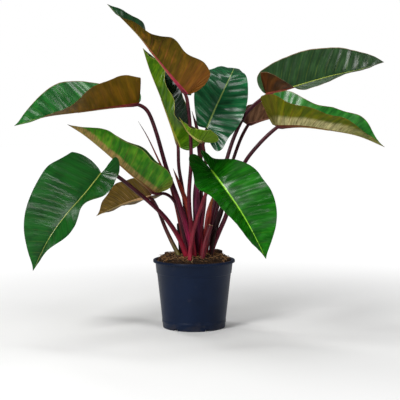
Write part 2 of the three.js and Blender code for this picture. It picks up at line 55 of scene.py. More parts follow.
FULL_TURN = 6.28

Colour = tuple[float, float, float, float]
Point = tuple[float, float, float]
Keys = Sequence[float]
Pair = tuple[Keys, Keys]
Number = Union[float, "Value"]


BLACK = (0.0, 0.0, 0.0, 1.0)
WHITE = (1.0, 1.0, 1.0, 1.0)

# The flat half of a blade from its base to its tip, along and across, against its midrib.
TAPER = ((0.7, 0.145), (0.86, 0.065), (0.95, 0.018), (1, 0))
ARROW = (
    (-0.032, 0.01), (-0.09, 0.045), (-0.145, 0.12), (-0.13, 0.2), (-0.03, 0.27), (0.12, 0.295),
    (0.3, 0.275), (0.5, 0.22), *TAPER,
)


class Side(Enum):
    """The half of a blade, seen on its upper side with the tip ahead."""

    LEFT = 0
    RIGHT = 1


class Top(Enum):
    """How a bud sheath or a stub ends at its top."""

    POINTED = "pointed"
    CUT = "cut"
    WITHERED = "withered"


def paint(red: int, green: int, blue: int) -> Colour:
    """Turn a colour as seen on a screen into the linear one of a material.

    Args:
        red: Red, 0 to 255.
        green: Green, 0 to 255.
        blue: Blue, 0 to 255.

    Returns:
        The linear colour with full opacity.
    """
    channels = [value / 255 for value in (red, green, blue)]
    linear = [c / 12.92 if c <= 0.04045 else ((c + 0.055) / 1.055) ** 2.4 for c in channels]
    return (linear[0], linear[1], linear[2], 1.0)


def shades(*rows: tuple[float, int, int, int]) -> list[tuple[float, Colour]]:
    """Colours along a stalk, each as its place, 0 at the foot and 1 at the neck, red, green, blue."""
    return [(place, paint(red, green, blue)) for place, red, green, blue in rows]


def unit(vectors: np.ndarray) -> np.ndarray:
    """The vectors of the last axis at length 1."""
    return vectors / np.linalg.norm(vectors, axis=-1, keepdims=True)


def keyed(keys: Keys, t: np.ndarray, rounding: float = 0.06) -> np.ndarray:
    """Read numbers that are spread evenly over 0 to 1, rounded off a little at each of them.

    Args:
        keys: The numbers.
        t: The places to read at.
        rounding: How far to each side of a place the numbers are averaged.

    Returns:
        The number at each place.
    """
    spots = np.linspace(0, 1, len(keys))
    shifts = np.linspace(-rounding, rounding, 7)
    return np.mean([np.interp(np.clip(t + shift, 0, 1), spots, keys) for shift in shifts], axis=0)


def seeded(seed: int) -> Iterator[float]:
    """Yield a repeatable row of numbers from 0 to 1.

    Args:
        seed: Where the row starts.

    Yields:
        The next number.
    """
    state = seed
    while True:
        state = (state * 1664525 + 1013904223) % 4294967296
        yield state / 4294967296


class Route:
    """A smooth curve through points, read at fractions of its length."""

    def __init__(self, points: Sequence[Point]) -> None:
        """Lay the curve.

        Args:
            points: What it passes through, from its start to its end.
        """
        inner = np.array(points, float)
        before = 2 * inner[0] - inner[1]
        after = 2 * inner[-1] - inner[-2]
        self.points = np.vstack([before, inner, after])
        self.spots = np.linspace(0, 1, 1201)
        steps = np.linalg.norm(np.diff(self._at(self.spots), axis=0), axis=1)
        self.reach = np.concatenate([[0.0], np.cumsum(steps)])
        self.length = float(self.reach[-1])

    def _at(self, t: np.ndarray) -> np.ndarray:
        """The places at values of the curve's own parameter.

        Args:
            t: The values, from 0 at its start to 1 at its end.

        Returns:
            The places.
        """
        count = len(self.points) - 3
        spot = np.clip(t, 0, 1) * count
        first = np.minimum(spot.astype(int), count - 1)
        w = (spot - first)[..., None]
        p0, p1, p2, p3 = (self.points[first + k] for k in range(4))
        start = (2 * w**3 - 3 * w**2 + 1) * p1 + (w**3 - 2 * w**2 + w) * 0.5 * (p2 - p0)
        return start + (3 * w**2 - 2 * w**3) * p2 + (w**3 - w**2) * 0.5 * (p3 - p1)

    def _own(self, u: np.ndarray) -> np.ndarray:
        """The curve's own parameter at fractions of its length."""
        return np.interp(np.clip(u, 0, 1) * self.length, self.reach, self.spots)

    def point(self, u: np.ndarray) -> np.ndarray:
        """The places at fractions of the length."""
        return self._at(self._own(u))

    def tangent(self, u: np.ndarray) -> np.ndarray:
        """The directions at fractions of the length."""
        own = self._own(u)
        return unit(self._at(own + 0.0005) - self._at(own - 0.0005))


class Value:
    """An output socket of a node. Arithmetic on it adds Math nodes."""

    def __init__(self, bench: "Bench", socket: bpy.types.NodeSocket) -> None:
        """Wrap a socket.

        Args:
            bench: What adds nodes to the socket's tree.
            socket: The output socket.
        """
        self.bench = bench
        self.socket = socket

    def other(self, name: str) -> "Value":
        """Another output of the same node, by name."""
        return Value(self.bench, self.socket.node.outputs[name])

    def __add__(self, other: Number) -> "Value":
        """The sum."""
        return self.bench.maths("ADD", self, other)

    def __radd__(self, other: Number) -> "Value":
        """The sum, from the right."""
        return self.bench.maths("ADD", other, self)

    def __sub__(self, other: Number) -> "Value":
        """The difference."""
        return self.bench.maths("SUBTRACT", self, other)

    def __rsub__(self, other: Number) -> "Value":
        """The difference, from the right."""
        return self.bench.maths("SUBTRACT", other, self)

    def __mul__(self, other: Number) -> "Value":
        """The product."""
        return self.bench.maths("MULTIPLY", self, other)

    def __rmul__(self, other: Number) -> "Value":
        """The product, from the right."""
        return self.bench.maths("MULTIPLY", other, self)

    def __truediv__(self, other: Number) -> "Value":
        """The quotient."""
        return self.bench.maths("DIVIDE", self, other)

    def __neg__(self) -> "Value":
        """The negative."""
        return self.bench.maths("MULTIPLY", self, -1.0)

    def __abs__(self) -> "Value":
        """The size without its sign."""
        return self.bench.maths("ABSOLUTE", self)

    def sine(self) -> "Value":
        """The sine of the value in radians."""
        return self.bench.maths("SINE", self)

    def fraction(self) -> "Value":
        """What is left of the value after the whole numbers."""
        return self.bench.maths("FRACT", self)


class Bench:
    """A node tree and the one way that nodes are added to it."""

    def __init__(self, tree: bpy.types.NodeTree) -> None:
        """Work on a tree.

        Args:
            tree: The tree that gets the nodes.
        """
        self.tree = tree

    def node(
        self,
        kind: str,
        settings: dict[str, object] | None = None,
        inputs: dict[int | str, object] | None = None,
        output: int | str | None = 0,
    ) -> Value | None:
        """Add a node, set it up and join it.

        Args:
            kind: The node's type.
            settings: Its properties, which are set first; "stops" holds the colours of a ramp.
            inputs: The values or links of its sockets, by number or name.
            output: The output that is wanted, or None for a node that ends a tree.

        Returns:
            The output, or None.
        """
        node = self.tree.nodes.new(kind)
        for name, value in (settings or {}).items():
            if name == "stops":
                elements = node.color_ramp.elements
                while len(elements) < len(value):
                    elements.new(0.5)
                for element, (place, colour) in zip(elements, value):
                    element.position = place
                    element.color = colour
            else:
                setattr(node, name, value)
        for key, value in (inputs or {}).items():
            if isinstance(value, Value):
                self.tree.links.new(value.socket, node.inputs[key])
            else:
                node.inputs[key].default_value = value
        return None if output is None else Value(self, node.outputs[output])

    def maths(self, operation: str, *values: Number) -> Value:
        """A Math node on one, two or three values."""
        return self.node("ShaderNodeMath", {"operation": operation}, dict(enumerate(values)))

    def vector(self, operation: str, *values: object, output: int = 0) -> Value:
        """A Vector Math node on vectors."""
        settings = {"operation": operation}
        return self.node("ShaderNodeVectorMath", settings, dict(enumerate(values)), output)

    def scaled(self, vector: Value, factor: Number) -> Value:
        """A vector or a colour times a value."""
        return self.node("ShaderNodeVectorMath", {"operation": "SCALE"}, {0: vector, 3: factor})

    def combined(self, x: Number, y: Number, z: Number) -> Value:
        """A vector from its three parts."""
        return self.node("ShaderNodeCombineXYZ", inputs={0: x, 1: y, 2: z})

    def step(self, value: Value, low: Number, high: Number) -> Value:
        """A soft step from 0 at low to 1 at high, or the other way round where low is larger."""
        settings = {"interpolation_type": "SMOOTHSTEP"}
        return self.node("ShaderNodeMapRange", settings, {0: value, 1: low, 2: high})

    def noise(self, place: Value, scale: float, detail: float = 2.0, roughness: float = 0.5) -> Value:
        """Cloudy noise from 0 to 1.

        Args:
            place: Where it is read.
            scale: Its number of clouds in each unit.
            detail: How many times finer noise is added.
            roughness: How strong that is.

        Returns:
            The noise.
        """
        inputs = {"Vector": place, "Scale": scale, "Detail": detail, "Roughness": roughness}
        return self.node("ShaderNodeTexNoise", inputs=inputs)


class Shader(Bench):
    """The nodes of a new material."""

    def __init__(self, name: str) -> None:
        """Start a material.

        Args:
            name: Its name.
        """
        self.material = bpy.data.materials.new(name)
        self.material.use_nodes = True
        self.material.node_tree.nodes.clear()
        super().__init__(self.material.node_tree)

    def place(self) -> Value:
        """Where a point is on the object, in metres."""
        return self.node("ShaderNodeTexCoord", output="Object")

    def attribute(self, name: str) -> Value:
        """A number that the mesh carries."""
        return self.node("ShaderNodeAttribute", {"attribute_name": name}, output="Fac")

    def attribute_vector(self, name: str) -> Value:
        """A vector that the mesh carries."""
        return self.node("ShaderNodeAttribute", {"attribute_name": name}, output="Vector")

    def blend(self, factor: Number, first: object, second: object) -> Value:
        """Mix two colours.

        Args:
            factor: How much of the second is taken.
            first: A colour, as a value or a link.
            second: A colour, as a value or a link.

        Returns:
            The mixed colour.
        """
        settings = {"data_type": "RGBA", "clamp_factor": True}
        return self.node("ShaderNodeMix", settings, {0: factor, 6: first, 7: second}, 2)

    def ramp(self, factor: Value, stops: Sequence[tuple[float, Colour]]) -> Value:
        """A row of colours that a value picks from."""
        return self.node("ShaderNodeValToRGB", {"stops": stops}, {0: factor})

    def bump(self, height: Value, distance: float, strength: float = 1.0) -> Value:
        """A normal that shows a height, with the distance in metres."""
        inputs = {"Strength": strength, "Distance": distance, "Height": height}
        return self.node("ShaderNodeBump", inputs=inputs)

    def close(self, **sockets: object) -> bpy.types.Material:
        """End the material in its surface shader.

        Args:
            **sockets: Values or links of the shader, with _ for a space in a socket's name.

        Returns:
            The material.
        """
        inputs = {name.replace("_", " "): value for name, value in sockets.items()}
        surface = self.node("ShaderNodeBsdfPrincipled", inputs=inputs)
        self.node("ShaderNodeOutputMaterial", inputs={0: surface}, output=None)
        return self.material


class Recipe(Bench):
    """A geometry node tree that makes a piece from a mesh, with named inputs."""

    def __init__(self, name: str, inputs: dict[str, float | int]) -> None:
        """Start a tree.

        Args:
            name: Its name.
            inputs: Its inputs with their usual values.
        """
        super().__init__(bpy.data.node_groups.new(name, "GeometryNodeTree"))
        face = self.tree.interface
        face.new_socket(name="Geometry", in_out="INPUT", socket_type="NodeSocketGeometry")
        for title, value in inputs.items():
            kind = "NodeSocketInt" if isinstance(value, int) else "NodeSocketFloat"
            face.new_socket(name=title, in_out="INPUT", socket_type=kind).default_value = value
        face.new_socket(name="Finish", in_out="INPUT", socket_type="NodeSocketMaterial")
        face.new_socket(name="Geometry", in_out="OUTPUT", socket_type="NodeSocketGeometry")
        self.entry = self.node("NodeGroupInput")

    def given(self, title: str) -> Value:
        """One of the tree's own inputs."""
        return self.entry.other(title)

    def carried(self, name: str, kind: str = "FLOAT") -> Value:
        """A number or vector that the mesh carries."""
        return self.node("GeometryNodeInputNamedAttribute", {"data_type": kind}, {0: name})

    def keep(self, geometry: Value, name: str, value: Value, kind: str = "FLOAT") -> Value:
        """Store a number or vector on the points of a geometry.

        Args:
            geometry: What gets it.
            name: The name it is stored under.
            value: What is stored.
            kind: The data type, a number or a vector.

        Returns:
            The geometry, which now carries it.
        """
        settings = {"data_type": kind, "domain": "POINT"}
        inputs = {0: geometry, 2: name, 3: value}
        return self.node("GeometryNodeStoreNamedAttribute", settings, inputs)

    def moved(self, geometry: Value, offset: Value) -> Value:
        """A geometry with each point moved by an offset."""
        return self.node("GeometryNodeSetPosition", inputs={0: geometry, "Offset": offset})

    def random(self, low: object, high: object, seed: Value, kind: str = "FLOAT") -> Value:
        """A random number or vector for each point.

        Args:
            low: The least.
            high: The most.
            seed: Fixes the draw.
            kind: The data type, a number or a vector.

        Returns:
            The random value.
        """
        first, output = (2, 1) if kind == "FLOAT" else (0, 0)
        inputs = {first: low, first + 1: high, "Seed": seed}
        return self.node("FunctionNodeRandomValue", {"data_type": kind}, inputs, output)

    def strew(self, spread: Value, item: Value, turns: tuple[object, object], sizes: Value) -> Value:
        """Set copies of an item on points.

        Args:
            spread: The points.
            item: What is copied.
            turns: The least and the most that a copy is turned by.
            sizes: The scale of each copy.

        Returns:
            The copies.
        """
        turn = self.random(*turns, self.given("Seed"), "FLOAT_VECTOR")
        rotation = self.node("FunctionNodeEulerToRotation", inputs={0: turn})
        inputs = {"Points": spread, "Instance": item, "Rotation": rotation, "Scale": sizes}
        return self.node("GeometryNodeInstanceOnPoints", inputs=inputs)

    def close(self, geometry: Value) -> None:
        """End the tree in real, dressed faces.

        Args:
            geometry: What the tree has made.
        """
        real = self.node("GeometryNodeRealizeInstances", inputs={0: geometry})
        dressed = self.node("GeometryNodeSetMaterial", inputs={0: real, 2: self.given("Finish")})
        self.node("NodeGroupOutput", inputs={0: dressed}, output=None)

    def make(
        self,
        name: str,
        mesh: bpy.types.Mesh,
        finish: bpy.types.Material,
        values: dict[str, float | int] | None = None,
    ) -> bpy.types.Object:
        """Run the tree on a mesh and keep the result as a plain object.

        Args:
            name: The name of the new piece.
            mesh: What the tree starts from.
            finish: The material of its faces.
            values: Inputs that differ from their usual values.

        Returns:
            The piece, at the origin, with no modifier.
        """
        source = placed(f"{name}_source", mesh)
        modifier = source.modifiers.new("make", "NODES")
        modifier.node_group = self.tree
        items = self.tree.interface.items_tree
        sockets = {item.name: item.identifier for item in items if item.in_out == "INPUT"}
        for title, value in {**(values or {}), "Finish": finish}.items():
            modifier[sockets[title]] = value
        graph = bpy.context.evaluated_depsgraph_get()
        real = source.evaluated_get(graph)
        made = bpy.data.meshes.new_from_object(real, preserve_all_data_layers=True, depsgraph=graph)
        source.modifiers.clear()
        bpy.data.objects.remove(source)
        bpy.data.meshes.remove(mesh)
        made.name = name
        return placed(name, made)


def placed(name: str, mesh: bpy.types.Mesh) -> bpy.types.Object:
    """A new object with a mesh, at the origin of the scene.

    Args:
        name: Its name.
        mesh: Its mesh.

    Returns:
        The object.
    """
    piece = bpy.data.objects.new(name, mesh)
    bpy.context.scene.collection.objects.link(piece)
    return piece


def mesh_of(
    name: str,
    points: np.ndarray,
    faces: Sequence[Sequence[int]],
    carried: dict[str, np.ndarray] | None = None,
    edges: Sequence[tuple[int, int]] = (),
) -> bpy.types.Mesh:
    """Make a mesh from points in millimetres.

    Args:
        name: Its name.
        points: The corners.
        faces: The corners of each face.
        carried: Numbers or vectors that the corners carry.
        edges: Edges that no face has.

    Returns:
        The mesh, in metres.
    """
    mesh = bpy.data.meshes.new(name)
    mesh.from_pydata((np.asarray(points) * MM).tolist(), edges, faces)
    for title, values in (carried or {}).items():
        vector = values.ndim == 2
        layer = mesh.attributes.new(title, "FLOAT_VECTOR" if vector else "FLOAT", "POINT")
        layer.data.foreach_set("vector" if vector else "value", np.ravel(values).astype(np.float32))
    mesh.update()
    return mesh


def lathed(
    name: str,
    section: Sequence[tuple[float, float | None]],
    segments: int,
    level: Callable[[np.ndarray, np.ndarray], np.ndarray] | None = None,
) -> bpy.types.Object:
    """Turn a section round the pot's axis.

    Args:
        name: The name of the piece.
        section: Radius and height, from the axis round to the axis, with None for a height to look up.
        segments: How many faces go round.
        level: Looks up the heights at places.

    Returns:
        The closed piece.
    """
    angles = np.linspace(0, 2 * np.pi, segments, endpoint=False)
    points, rings, faces = [], [], []
    for radius, height in section:
        spots = angles if radius else angles[:1]
        x, y = radius * np.cos(spots), radius * np.sin(spots)
        heights = level(x, y) if height is None else np.full(len(spots), height)
        rings.append([len(points) + k for k in range(len(spots))])
        points += list(zip(x, y, heights))
    for low, high in zip(rings, rings[1:]):
        for k in range(segments):
            n = (k + 1) % segments
            corners = [low[k % len(low)], low[n % len(low)], high[n % len(high)], high[k % len(high)]]
            faces.append([corner for i, corner in enumerate(corners) if corner != corners[i - 1]])
    return placed(name, mesh_of(name, np.array(points), faces))


def smoothed(piece: bpy.types.Object, angle: float) -> bpy.types.Object:
    """Shade a piece smoothly, with edges over an angle in degrees kept crisp.

    Args:
        piece: The piece.
        angle: The angle in degrees.

    Returns:
        The piece.
    """
    piece.data.shade_smooth()
    piece.data.set_sharp_from_angle(angle=math.radians(angle))
    return piece


def hand_in(piece: bpy.types.Object, slot: str, *nodes: str) -> bpy.types.Object:
    """Attach a finished piece to the root body, hide the CAD parts that it stands for and log it.

    Args:
        piece: The piece.
        slot: The name of a material slot, which is only logged.
        *nodes: The CAD nodes that it stands for.

    Returns:
        The piece.
    """
    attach(piece, "root")
    if nodes:
        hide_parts(*nodes)
    LOG.info("%s: %d faces, slot %s", piece.name, len(piece.data.polygons), slot)
    return piece


class LeafMap:
    """The patterns of a blade's surface, from where a point is on the blade."""

    def __init__(self, shader: Shader, veins: int, patches: tuple[float, float]) -> None:
        """Lay out the patterns.

        Args:
            shader: The material's nodes.
            veins: How many side veins a half has.
            patches: Where the paler patches start and end in the clouds.
        """
        self.row, self.across, self.along, self.gap, self.under = (
            shader.attribute(title) for title in ("row", "across", "along", "gap", "under")
        )
        place = shader.place()
        streak_place = shader.combined(self.row * 120.0, self.across * 2.2, self.under * 7.0)
        band_place = shader.combined(self.row * 30.0, self.across * 1.4, self.under * 5.0 + 3.0)
        ripple_place = shader.combined(self.row * 42.0, self.across * 0.7, self.under * 9.0)
        self.streak = shader.noise(streak_place, 1.0, 3.0, 0.6)
        self.banded = shader.noise(band_place, 1.0, 2.0, 0.5)
        self.ripple = shader.noise(ripple_place, 1.0, 0.0)
        self.cloud = shader.noise(place, 20.0, 3.0, 0.55)
        self.patch = shader.step(self.cloud * 0.55 + self.banded * 0.45, *patches)
        wander = shader.noise(place, 30.0, 1.0) * 0.12
        near = abs((self.row * float(veins) + wander).fraction() - 0.5) * 2.0
        finer = abs((self.row * float(veins * 3) + wander * 3.0).fraction() - 0.5) * 2.0
        open_sheet = shader.step(self.across, 0.05, 0.22)
        inner = open_sheet * (1.0 - self.across * 0.75)
        self.vein = (1.0 - shader.step(near, 0.02, 0.13)) * inner * shader.step(self.cloud, 0.3, 0.6)
        self.fine_vein = (1.0 - shader.step(finer, 0.05, 0.4)) * inner
        # valley is 0 on each side vein and 1 between them; it shapes the quilted bump and a painted shade
        # along the sunken veins.
        self.valley = shader.step(near, 0.0, 0.9) * open_sheet


@dataclass(frozen=True)
class LeafSkin:
    """The finish of a blade: waxy green above, bronze or lime below, with ribs and veins."""

    top: Colour
    top_patch: Colour
    under: Colour
    under_patch: Colour
    rib_top: Colour
    rib_under: Colour
    # rib_far: the keel's colour towards the tip, paler than at the base: partly the rib's own colour,
    # partly a painted highlight along the midrib.
    rib_far: Colour = paint(150, 130, 70)
    margin: Colour = paint(120, 110, 55)
    dry: Colour = paint(70, 45, 22)
    flush: Colour = paint(120, 45, 40)
    flush_reach: float = 0.16
    # band: a pale, streaked band along the underside's midrib, a painted sheen where the curved blade
    # catches the glare of the pale surroundings.
    band: Colour = paint(150, 130, 80)
    painted_sheen_width: float = 0.0
    painted_sheen_end: float = 2.0
    vein_top: float = 0.14
    vein_under: float = 0.3
    rib_width: float = 2.6
    gloss: float = 0.3
    dry_tip: float = 0.02
    veins: int = 18
    patches: tuple[float, float] = (0.44, 0.62)
    wax: float = 0.5
    # shade: how much the upper side is darkened near the stalk, a painted shade where the blade's base
    # curls away from the light.
    shade: float = 0.0
    relief: float = 0.0011

    def upper_side(self, shader: Shader, leaf: LeafMap) -> Value:
        """The colour of the upper side.

        Args:
            shader: The material's nodes.
            leaf: The blade's patterns.

        Returns:
            The colour, with its veins and its pale midrib.
        """
        colour = shader.blend(leaf.patch, self.top, self.top_patch)
        lines = leaf.vein * self.vein_top + leaf.fine_vein * (self.vein_top * 0.3)
        colour = shader.blend(lines, colour, self.rib_top)
        reach = (1.25 - leaf.along) * self.rib_width
        rib = 1.0 - shader.step(leaf.gap, reach * 0.55, reach)
        return shader.blend(rib * (1.0 - shader.step(leaf.along, 0.9, 1.0)), colour, self.rib_top)

    def lower_side(self, shader: Shader, leaf: LeafMap) -> Value:
        """The colour of the underside.

        Args:
            shader: The material's nodes.
            leaf: The blade's patterns.

        Returns:
            The colour, with its painted sheen along the midrib, its flushed base, its veins and its keel.
        """
        colour = shader.blend(leaf.patch, self.under, self.under_patch)
        # Painted sheen: a pale streaked band along the midrib, fading towards the tip.
        if self.painted_sheen_width:
            reach = leaf.gap + leaf.cloud * 14.0 - 7.0
            band = 1.0 - shader.step(reach, self.painted_sheen_width * 0.7, self.painted_sheen_width * 1.15)
            band = band * (1.0 - shader.step(leaf.along, self.painted_sheen_end - 0.35, self.painted_sheen_end) * 0.75)
            grain = shader.step(leaf.streak, 0.3, 0.6) * 0.5 + 0.42
            colour = shader.blend(band * grain, colour, self.band)
        base = 1.0 - shader.step(leaf.along + leaf.cloud * 0.1, 0.02, self.flush_reach + 0.05)
        colour = shader.blend(base * 0.8, colour, self.flush)
        lines = leaf.vein * self.vein_under + leaf.fine_vein * (self.vein_under * 0.25)
        colour = shader.blend(lines, colour, self.rib_under)
        slim = 1.3 - leaf.along
        keel = 1.0 - shader.step(leaf.gap, slim * 2.2, slim * 3.6)
        # The keel pales towards the tip: partly the rib's own colour, partly a painted highlight.
        rib = shader.blend(shader.step(leaf.along, 0.3, 0.7), self.rib_under, self.rib_far)
        return shader.blend(keel, colour, rib)

    def material(self, name: str) -> bpy.types.Material:
        """Make the blade's material.

        Args:
            name: Its name.

        Returns:
            The material.
        """
        shader = Shader(name)
        leaf = LeafMap(shader, self.veins, self.patches)
        colour = shader.blend(leaf.under, self.upper_side(shader, leaf), self.lower_side(shader, leaf))
        colour = shader.blend(shader.step(leaf.across, 0.97, 0.99) * 0.8, colour, self.margin)
        dry = shader.step(leaf.along + leaf.cloud * 0.03, 1.015 - self.dry_tip, 1.015)
        colour = shader.blend(dry, colour, self.dry)
        fine, broad = shader.step(leaf.streak, 0.3, 0.7), shader.step(leaf.banded, 0.3, 0.7)
        # The valley term darkens the colour along the sunken side veins: painted shade of the quilted
        # relief. The fine and broad terms vary the tone at random.
        tone = 0.6 + fine * 0.3 + broad * 0.32 + leaf.valley * 0.12
        upper = 1.0 - leaf.under
        # Painted shade: the upper side darkens towards the stalk, by the share given in shade.
        base = (1.0 - shader.step(leaf.along + leaf.cloud * 0.1, 0.02, 0.24)) * upper
        height = leaf.valley * (1.0 - leaf.under * 2.0) * 0.36 + leaf.ripple * 0.7
        return shader.close(
            Base_Color=shader.scaled(colour, tone * (1.0 - base * self.shade)),
            Roughness=self.gloss + leaf.streak * 0.14 - 0.05 + leaf.under * 0.16,
            Normal=shader.bump(height, self.relief, 0.75),
            Specular_IOR_Level=0.12,
            Coat_Weight=upper * self.wax,
            Coat_Roughness=0.2,
        )


@dataclass(frozen=True)
class StalkSkin:
    """The finish of a stalk or sheath: a row of colours from the soil up, with fine streaks."""

    colours: Sequence[tuple[float, Colour]]
    streak: Colour = paint(190, 90, 100)
    streaks: float = 0.3
    gloss: float = 0.34
    cut: Colour | None = None
    costa: Colour | None = None
    # costa_far: the keel's colour towards the tip, partly a painted highlight.
    costa_far: Colour = paint(140, 124, 66)
    fleck: Colour = paint(205, 150, 130)
    old_pith: Colour = paint(150, 110, 80)

    def material(self, name: str) -> bpy.types.Material:
        """Make the material.

        Args:
            name: Its name.

        Returns:
            The material.
        """
        shader = Shader(name)
        rise = shader.attribute("rise")
        ring = shader.attribute_vector("ring")
        reach = shader.attribute("reach")

        def spot(round_it: float, along: float) -> Value:
            """A place in a pattern that is drawn out along the stalk."""
            rise_by = shader.combined(0.0, 0.0, reach * along)
            return shader.vector("ADD", shader.scaled(ring, round_it), rise_by)

        cloud = shader.noise(spot(1.6, 0.02), 1.4, 3.0, 0.6)
        fibre = shader.noise(spot(5.0, 0.05), 1.0, 3.0, 0.65)
        fleck = shader.step(shader.noise(spot(6.0, 0.35), 1.0, 1.0), 0.66, 0.74)
        colour = shader.ramp(rise + cloud * 0.16 - 0.08, self.colours)
        colour = shader.blend(shader.step(fibre, 0.52, 0.72) * self.streaks, colour, self.streak)
        tone = 0.05 + shader.step(cloud, 0.3, 0.7) * 0.34 + fibre * 0.17
        colour = shader.scaled(colour, tone * (1.7 - shader.step(rise, 0.0, 0.3) * 0.7))
        colour = shader.blend(fleck * 0.16, colour, self.fleck)
        if self.costa:
            # Under the blade the stalk takes the keel's colours, paler towards the tip: partly a painted
            # highlight.
            costa = shader.blend(shader.step(rise, 1.08, 1.28), self.costa, self.costa_far)
            colour = shader.blend(shader.step(rise, 1.0, 1.12), colour, costa)
        if self.cut:
            pith = shader.blend(shader.step(cloud, 0.4, 0.6), self.cut, self.old_pith)
            colour = shader.blend(shader.step(rise, 0.9935, 0.996), colour, pith)
        return shader.close(
            Base_Color=colour,
            Roughness=self.gloss + fibre * 0.16,
            Normal=shader.bump(fibre + fleck * 0.3, 0.0006, 0.6),
            Specular_IOR_Level=0.2,
        )


@dataclass(frozen=True)
class NurseryPlastic:
    """Moulded navy plastic with faint scuffs, dust and flow marks."""

    colour: Colour = paint(14, 28, 52)
    deep: Colour = paint(8, 18, 36)
    worn: Colour = paint(36, 52, 84)
    dust: Colour = paint(52, 50, 54)

    def material(self, name: str) -> bpy.types.Material:
        """Make the material.

        Args:
            name: Its name.

        Returns:
            The material.
        """
        shader = Shader(name)
        place = shader.place()
        parts = shader.node("ShaderNodeSeparateXYZ", inputs={0: place})
        height = parts.other("Z")
        cloud = shader.noise(place, 9.0, 4.0, 0.6)
        grain = shader.noise(place, 900.0, 2.0, 0.6)
        long_place = shader.vector("MULTIPLY", place, (30.0, 30.0, 420.0))
        scuff = shader.step(shader.noise(long_place, 1.0, 3.0, 0.7), 0.62, 0.78)
        worn = scuff * shader.step(cloud, 0.45, 0.6)
        colour = shader.blend(shader.step(cloud, 0.35, 0.7) * 0.6, self.colour, self.deep)
        colour = shader.blend(worn * 0.5, colour, self.worn)
        low = 1.0 - shader.step(height, 0.0, 0.035)
        dusty = shader.step(shader.noise(place, 40.0, 4.0, 0.6) + low * 0.22, 0.6, 0.85)
        colour = shader.blend(dusty * 0.5, colour, self.dust)
        return shader.close(
            Base_Color=colour,
            Roughness=0.34 + cloud * 0.1 + worn * 0.12 + dusty * 0.2,
            Normal=shader.bump(grain * 0.6 + scuff * 0.25, 0.00025, 0.5),
            Specular_IOR_Level=0.1,
            Coat_Weight=0.05,
            Coat_Roughness=0.22,
        )


@dataclass(frozen=True)
class PottingMix:
    """Crumbly brown mix of peat and bark."""

    dark: Colour = paint(24, 15, 10)
    brown: Colour = paint(56, 38, 22)
    pale: Colour = paint(128, 90, 54)

    def material(self, name: str) -> bpy.types.Material:
        """Make the material.

        Args:
            name: Its name.

        Returns:
            The material.
        """
        shader = Shader(name)
        place = shader.place()
        crumb = shader.noise(place, 260.0, 4.0, 0.7)
        lump = shader.noise(place, 70.0, 3.0, 0.6)
        colour = shader.blend(shader.step(crumb, 0.35, 0.62), self.dark, self.brown)
        colour = shader.blend(shader.step(crumb * lump, 0.3, 0.42) * 0.6, colour, self.pale)
        return shader.close(
            Base_Color=colour,
            Roughness=0.95,
            Normal=shader.bump(crumb + lump, 0.004, 0.9),
            Specular_IOR_Level=0.2,
        )


@dataclass(frozen=True)
class Bark:
    """Bark, fibre or root: a dry surface whose tone changes from piece to piece."""

    dark: Colour
    pale: Colour
    scale: float = 45.0
    rough: float = 0.85

    def material(self, name: str) -> bpy.types.Material:
        """Make the material.

        Args:
            name: Its name.

        Returns:
            The material.
        """
        shader = Shader(name)
        place = shader.place()
        broad = shader.noise(place, self.scale, 2.0)
        grain = shader.noise(place, self.scale * 12, 3.0, 0.65)
        mix = shader.step(broad * 0.75 + grain * 0.25, 0.38, 0.62)
        colour = shader.scaled(shader.blend(mix, self.dark, self.pale), 0.6 + grain * 0.6)
        return shader.close(
            Base_Color=colour,
            Roughness=self.rough,
            Normal=shader.bump(grain, 0.0012, 0.8),
            Specular_IOR_Level=0.25,
        )


class RodRecipe(Recipe):
    """Sweeps a round or flattened rod along a route."""

    def __init__(self) -> None:
        """Lay out the tree."""
        super().__init__("rod", {"Sides": 20, "Thickness": 1.0, "Groove": 0.0})
        route = self.node("GeometryNodeMeshToCurve", inputs={0: self.given("Geometry")})
        ring = {"Resolution": self.given("Sides"), "Radius": 1.0}
        circle = self.node("GeometryNodeCurvePrimitiveCircle", inputs=ring)
        place = self.node("GeometryNodeInputPosition")
        circle = self.keep(circle, "ring", place, "FLOAT_VECTOR")
        girth = self.carried("girth")
        inputs = {0: route, 1: circle, 2: girth, 3: True}
        tube = self.node("GeometryNodeCurveToMesh", inputs=inputs)
        through = self.carried("through", "FLOAT_VECTOR")
        away = self.vector("SUBTRACT", place, self.carried("middle", "FLOAT_VECTOR"))
        deep = self.vector("DOT_PRODUCT", away, through, output=1)
        squeeze = deep * (self.given("Thickness") - 1.0)
        turned = deep / self.maths("MAXIMUM", self.vector("LENGTH", away, output=1), 0.00001)
        groove = self.step(turned, 0.8, 1.0) * self.given("Groove") * girth * -1.0
        self.close(self.moved(tube, self.scaled(through, squeeze + groove)))


class ReliefRecipe(Recipe):
    """Quilts a blade between its side veins and cockles it a little."""

    def __init__(self) -> None:
        """Lay out the tree."""
        super().__init__("blade relief", {"Veins": 18, "Quilt": 0.0006, "Cockle": 0.0016, "Seed": 0.0})
        row = self.carried("row")
        across = self.carried("across")
        along = self.carried("along")
        beat = row * self.given("Veins") * (2 * math.pi)
        open_sheet = self.step(across, 0.04, 0.3) * (1.0 - self.step(along, 0.88, 0.99))
        hem = 1.0 - self.step(across, 0.85, 1.0) * 0.6
        swell = (beat + math.pi / 2).sine() * 0.8 + beat.sine() * 0.2
        quilt = swell * self.given("Quilt") * open_sheet * hem
        place = self.node("GeometryNodeInputPosition")
        shifted = self.vector("ADD", place, self.combined(self.given("Seed"), 0.0, 0.0))
        cloud = self.noise(shifted, 17.0, 1.5) - 0.5
        cockle = cloud * 2.0 * self.given("Cockle") * self.step(across, 0.1, 0.6) * open_sheet
        offset = self.scaled(self.carried("facing", "FLOAT_VECTOR"), quilt + cockle)
        self.close(self.moved(self.given("Geometry"), offset))


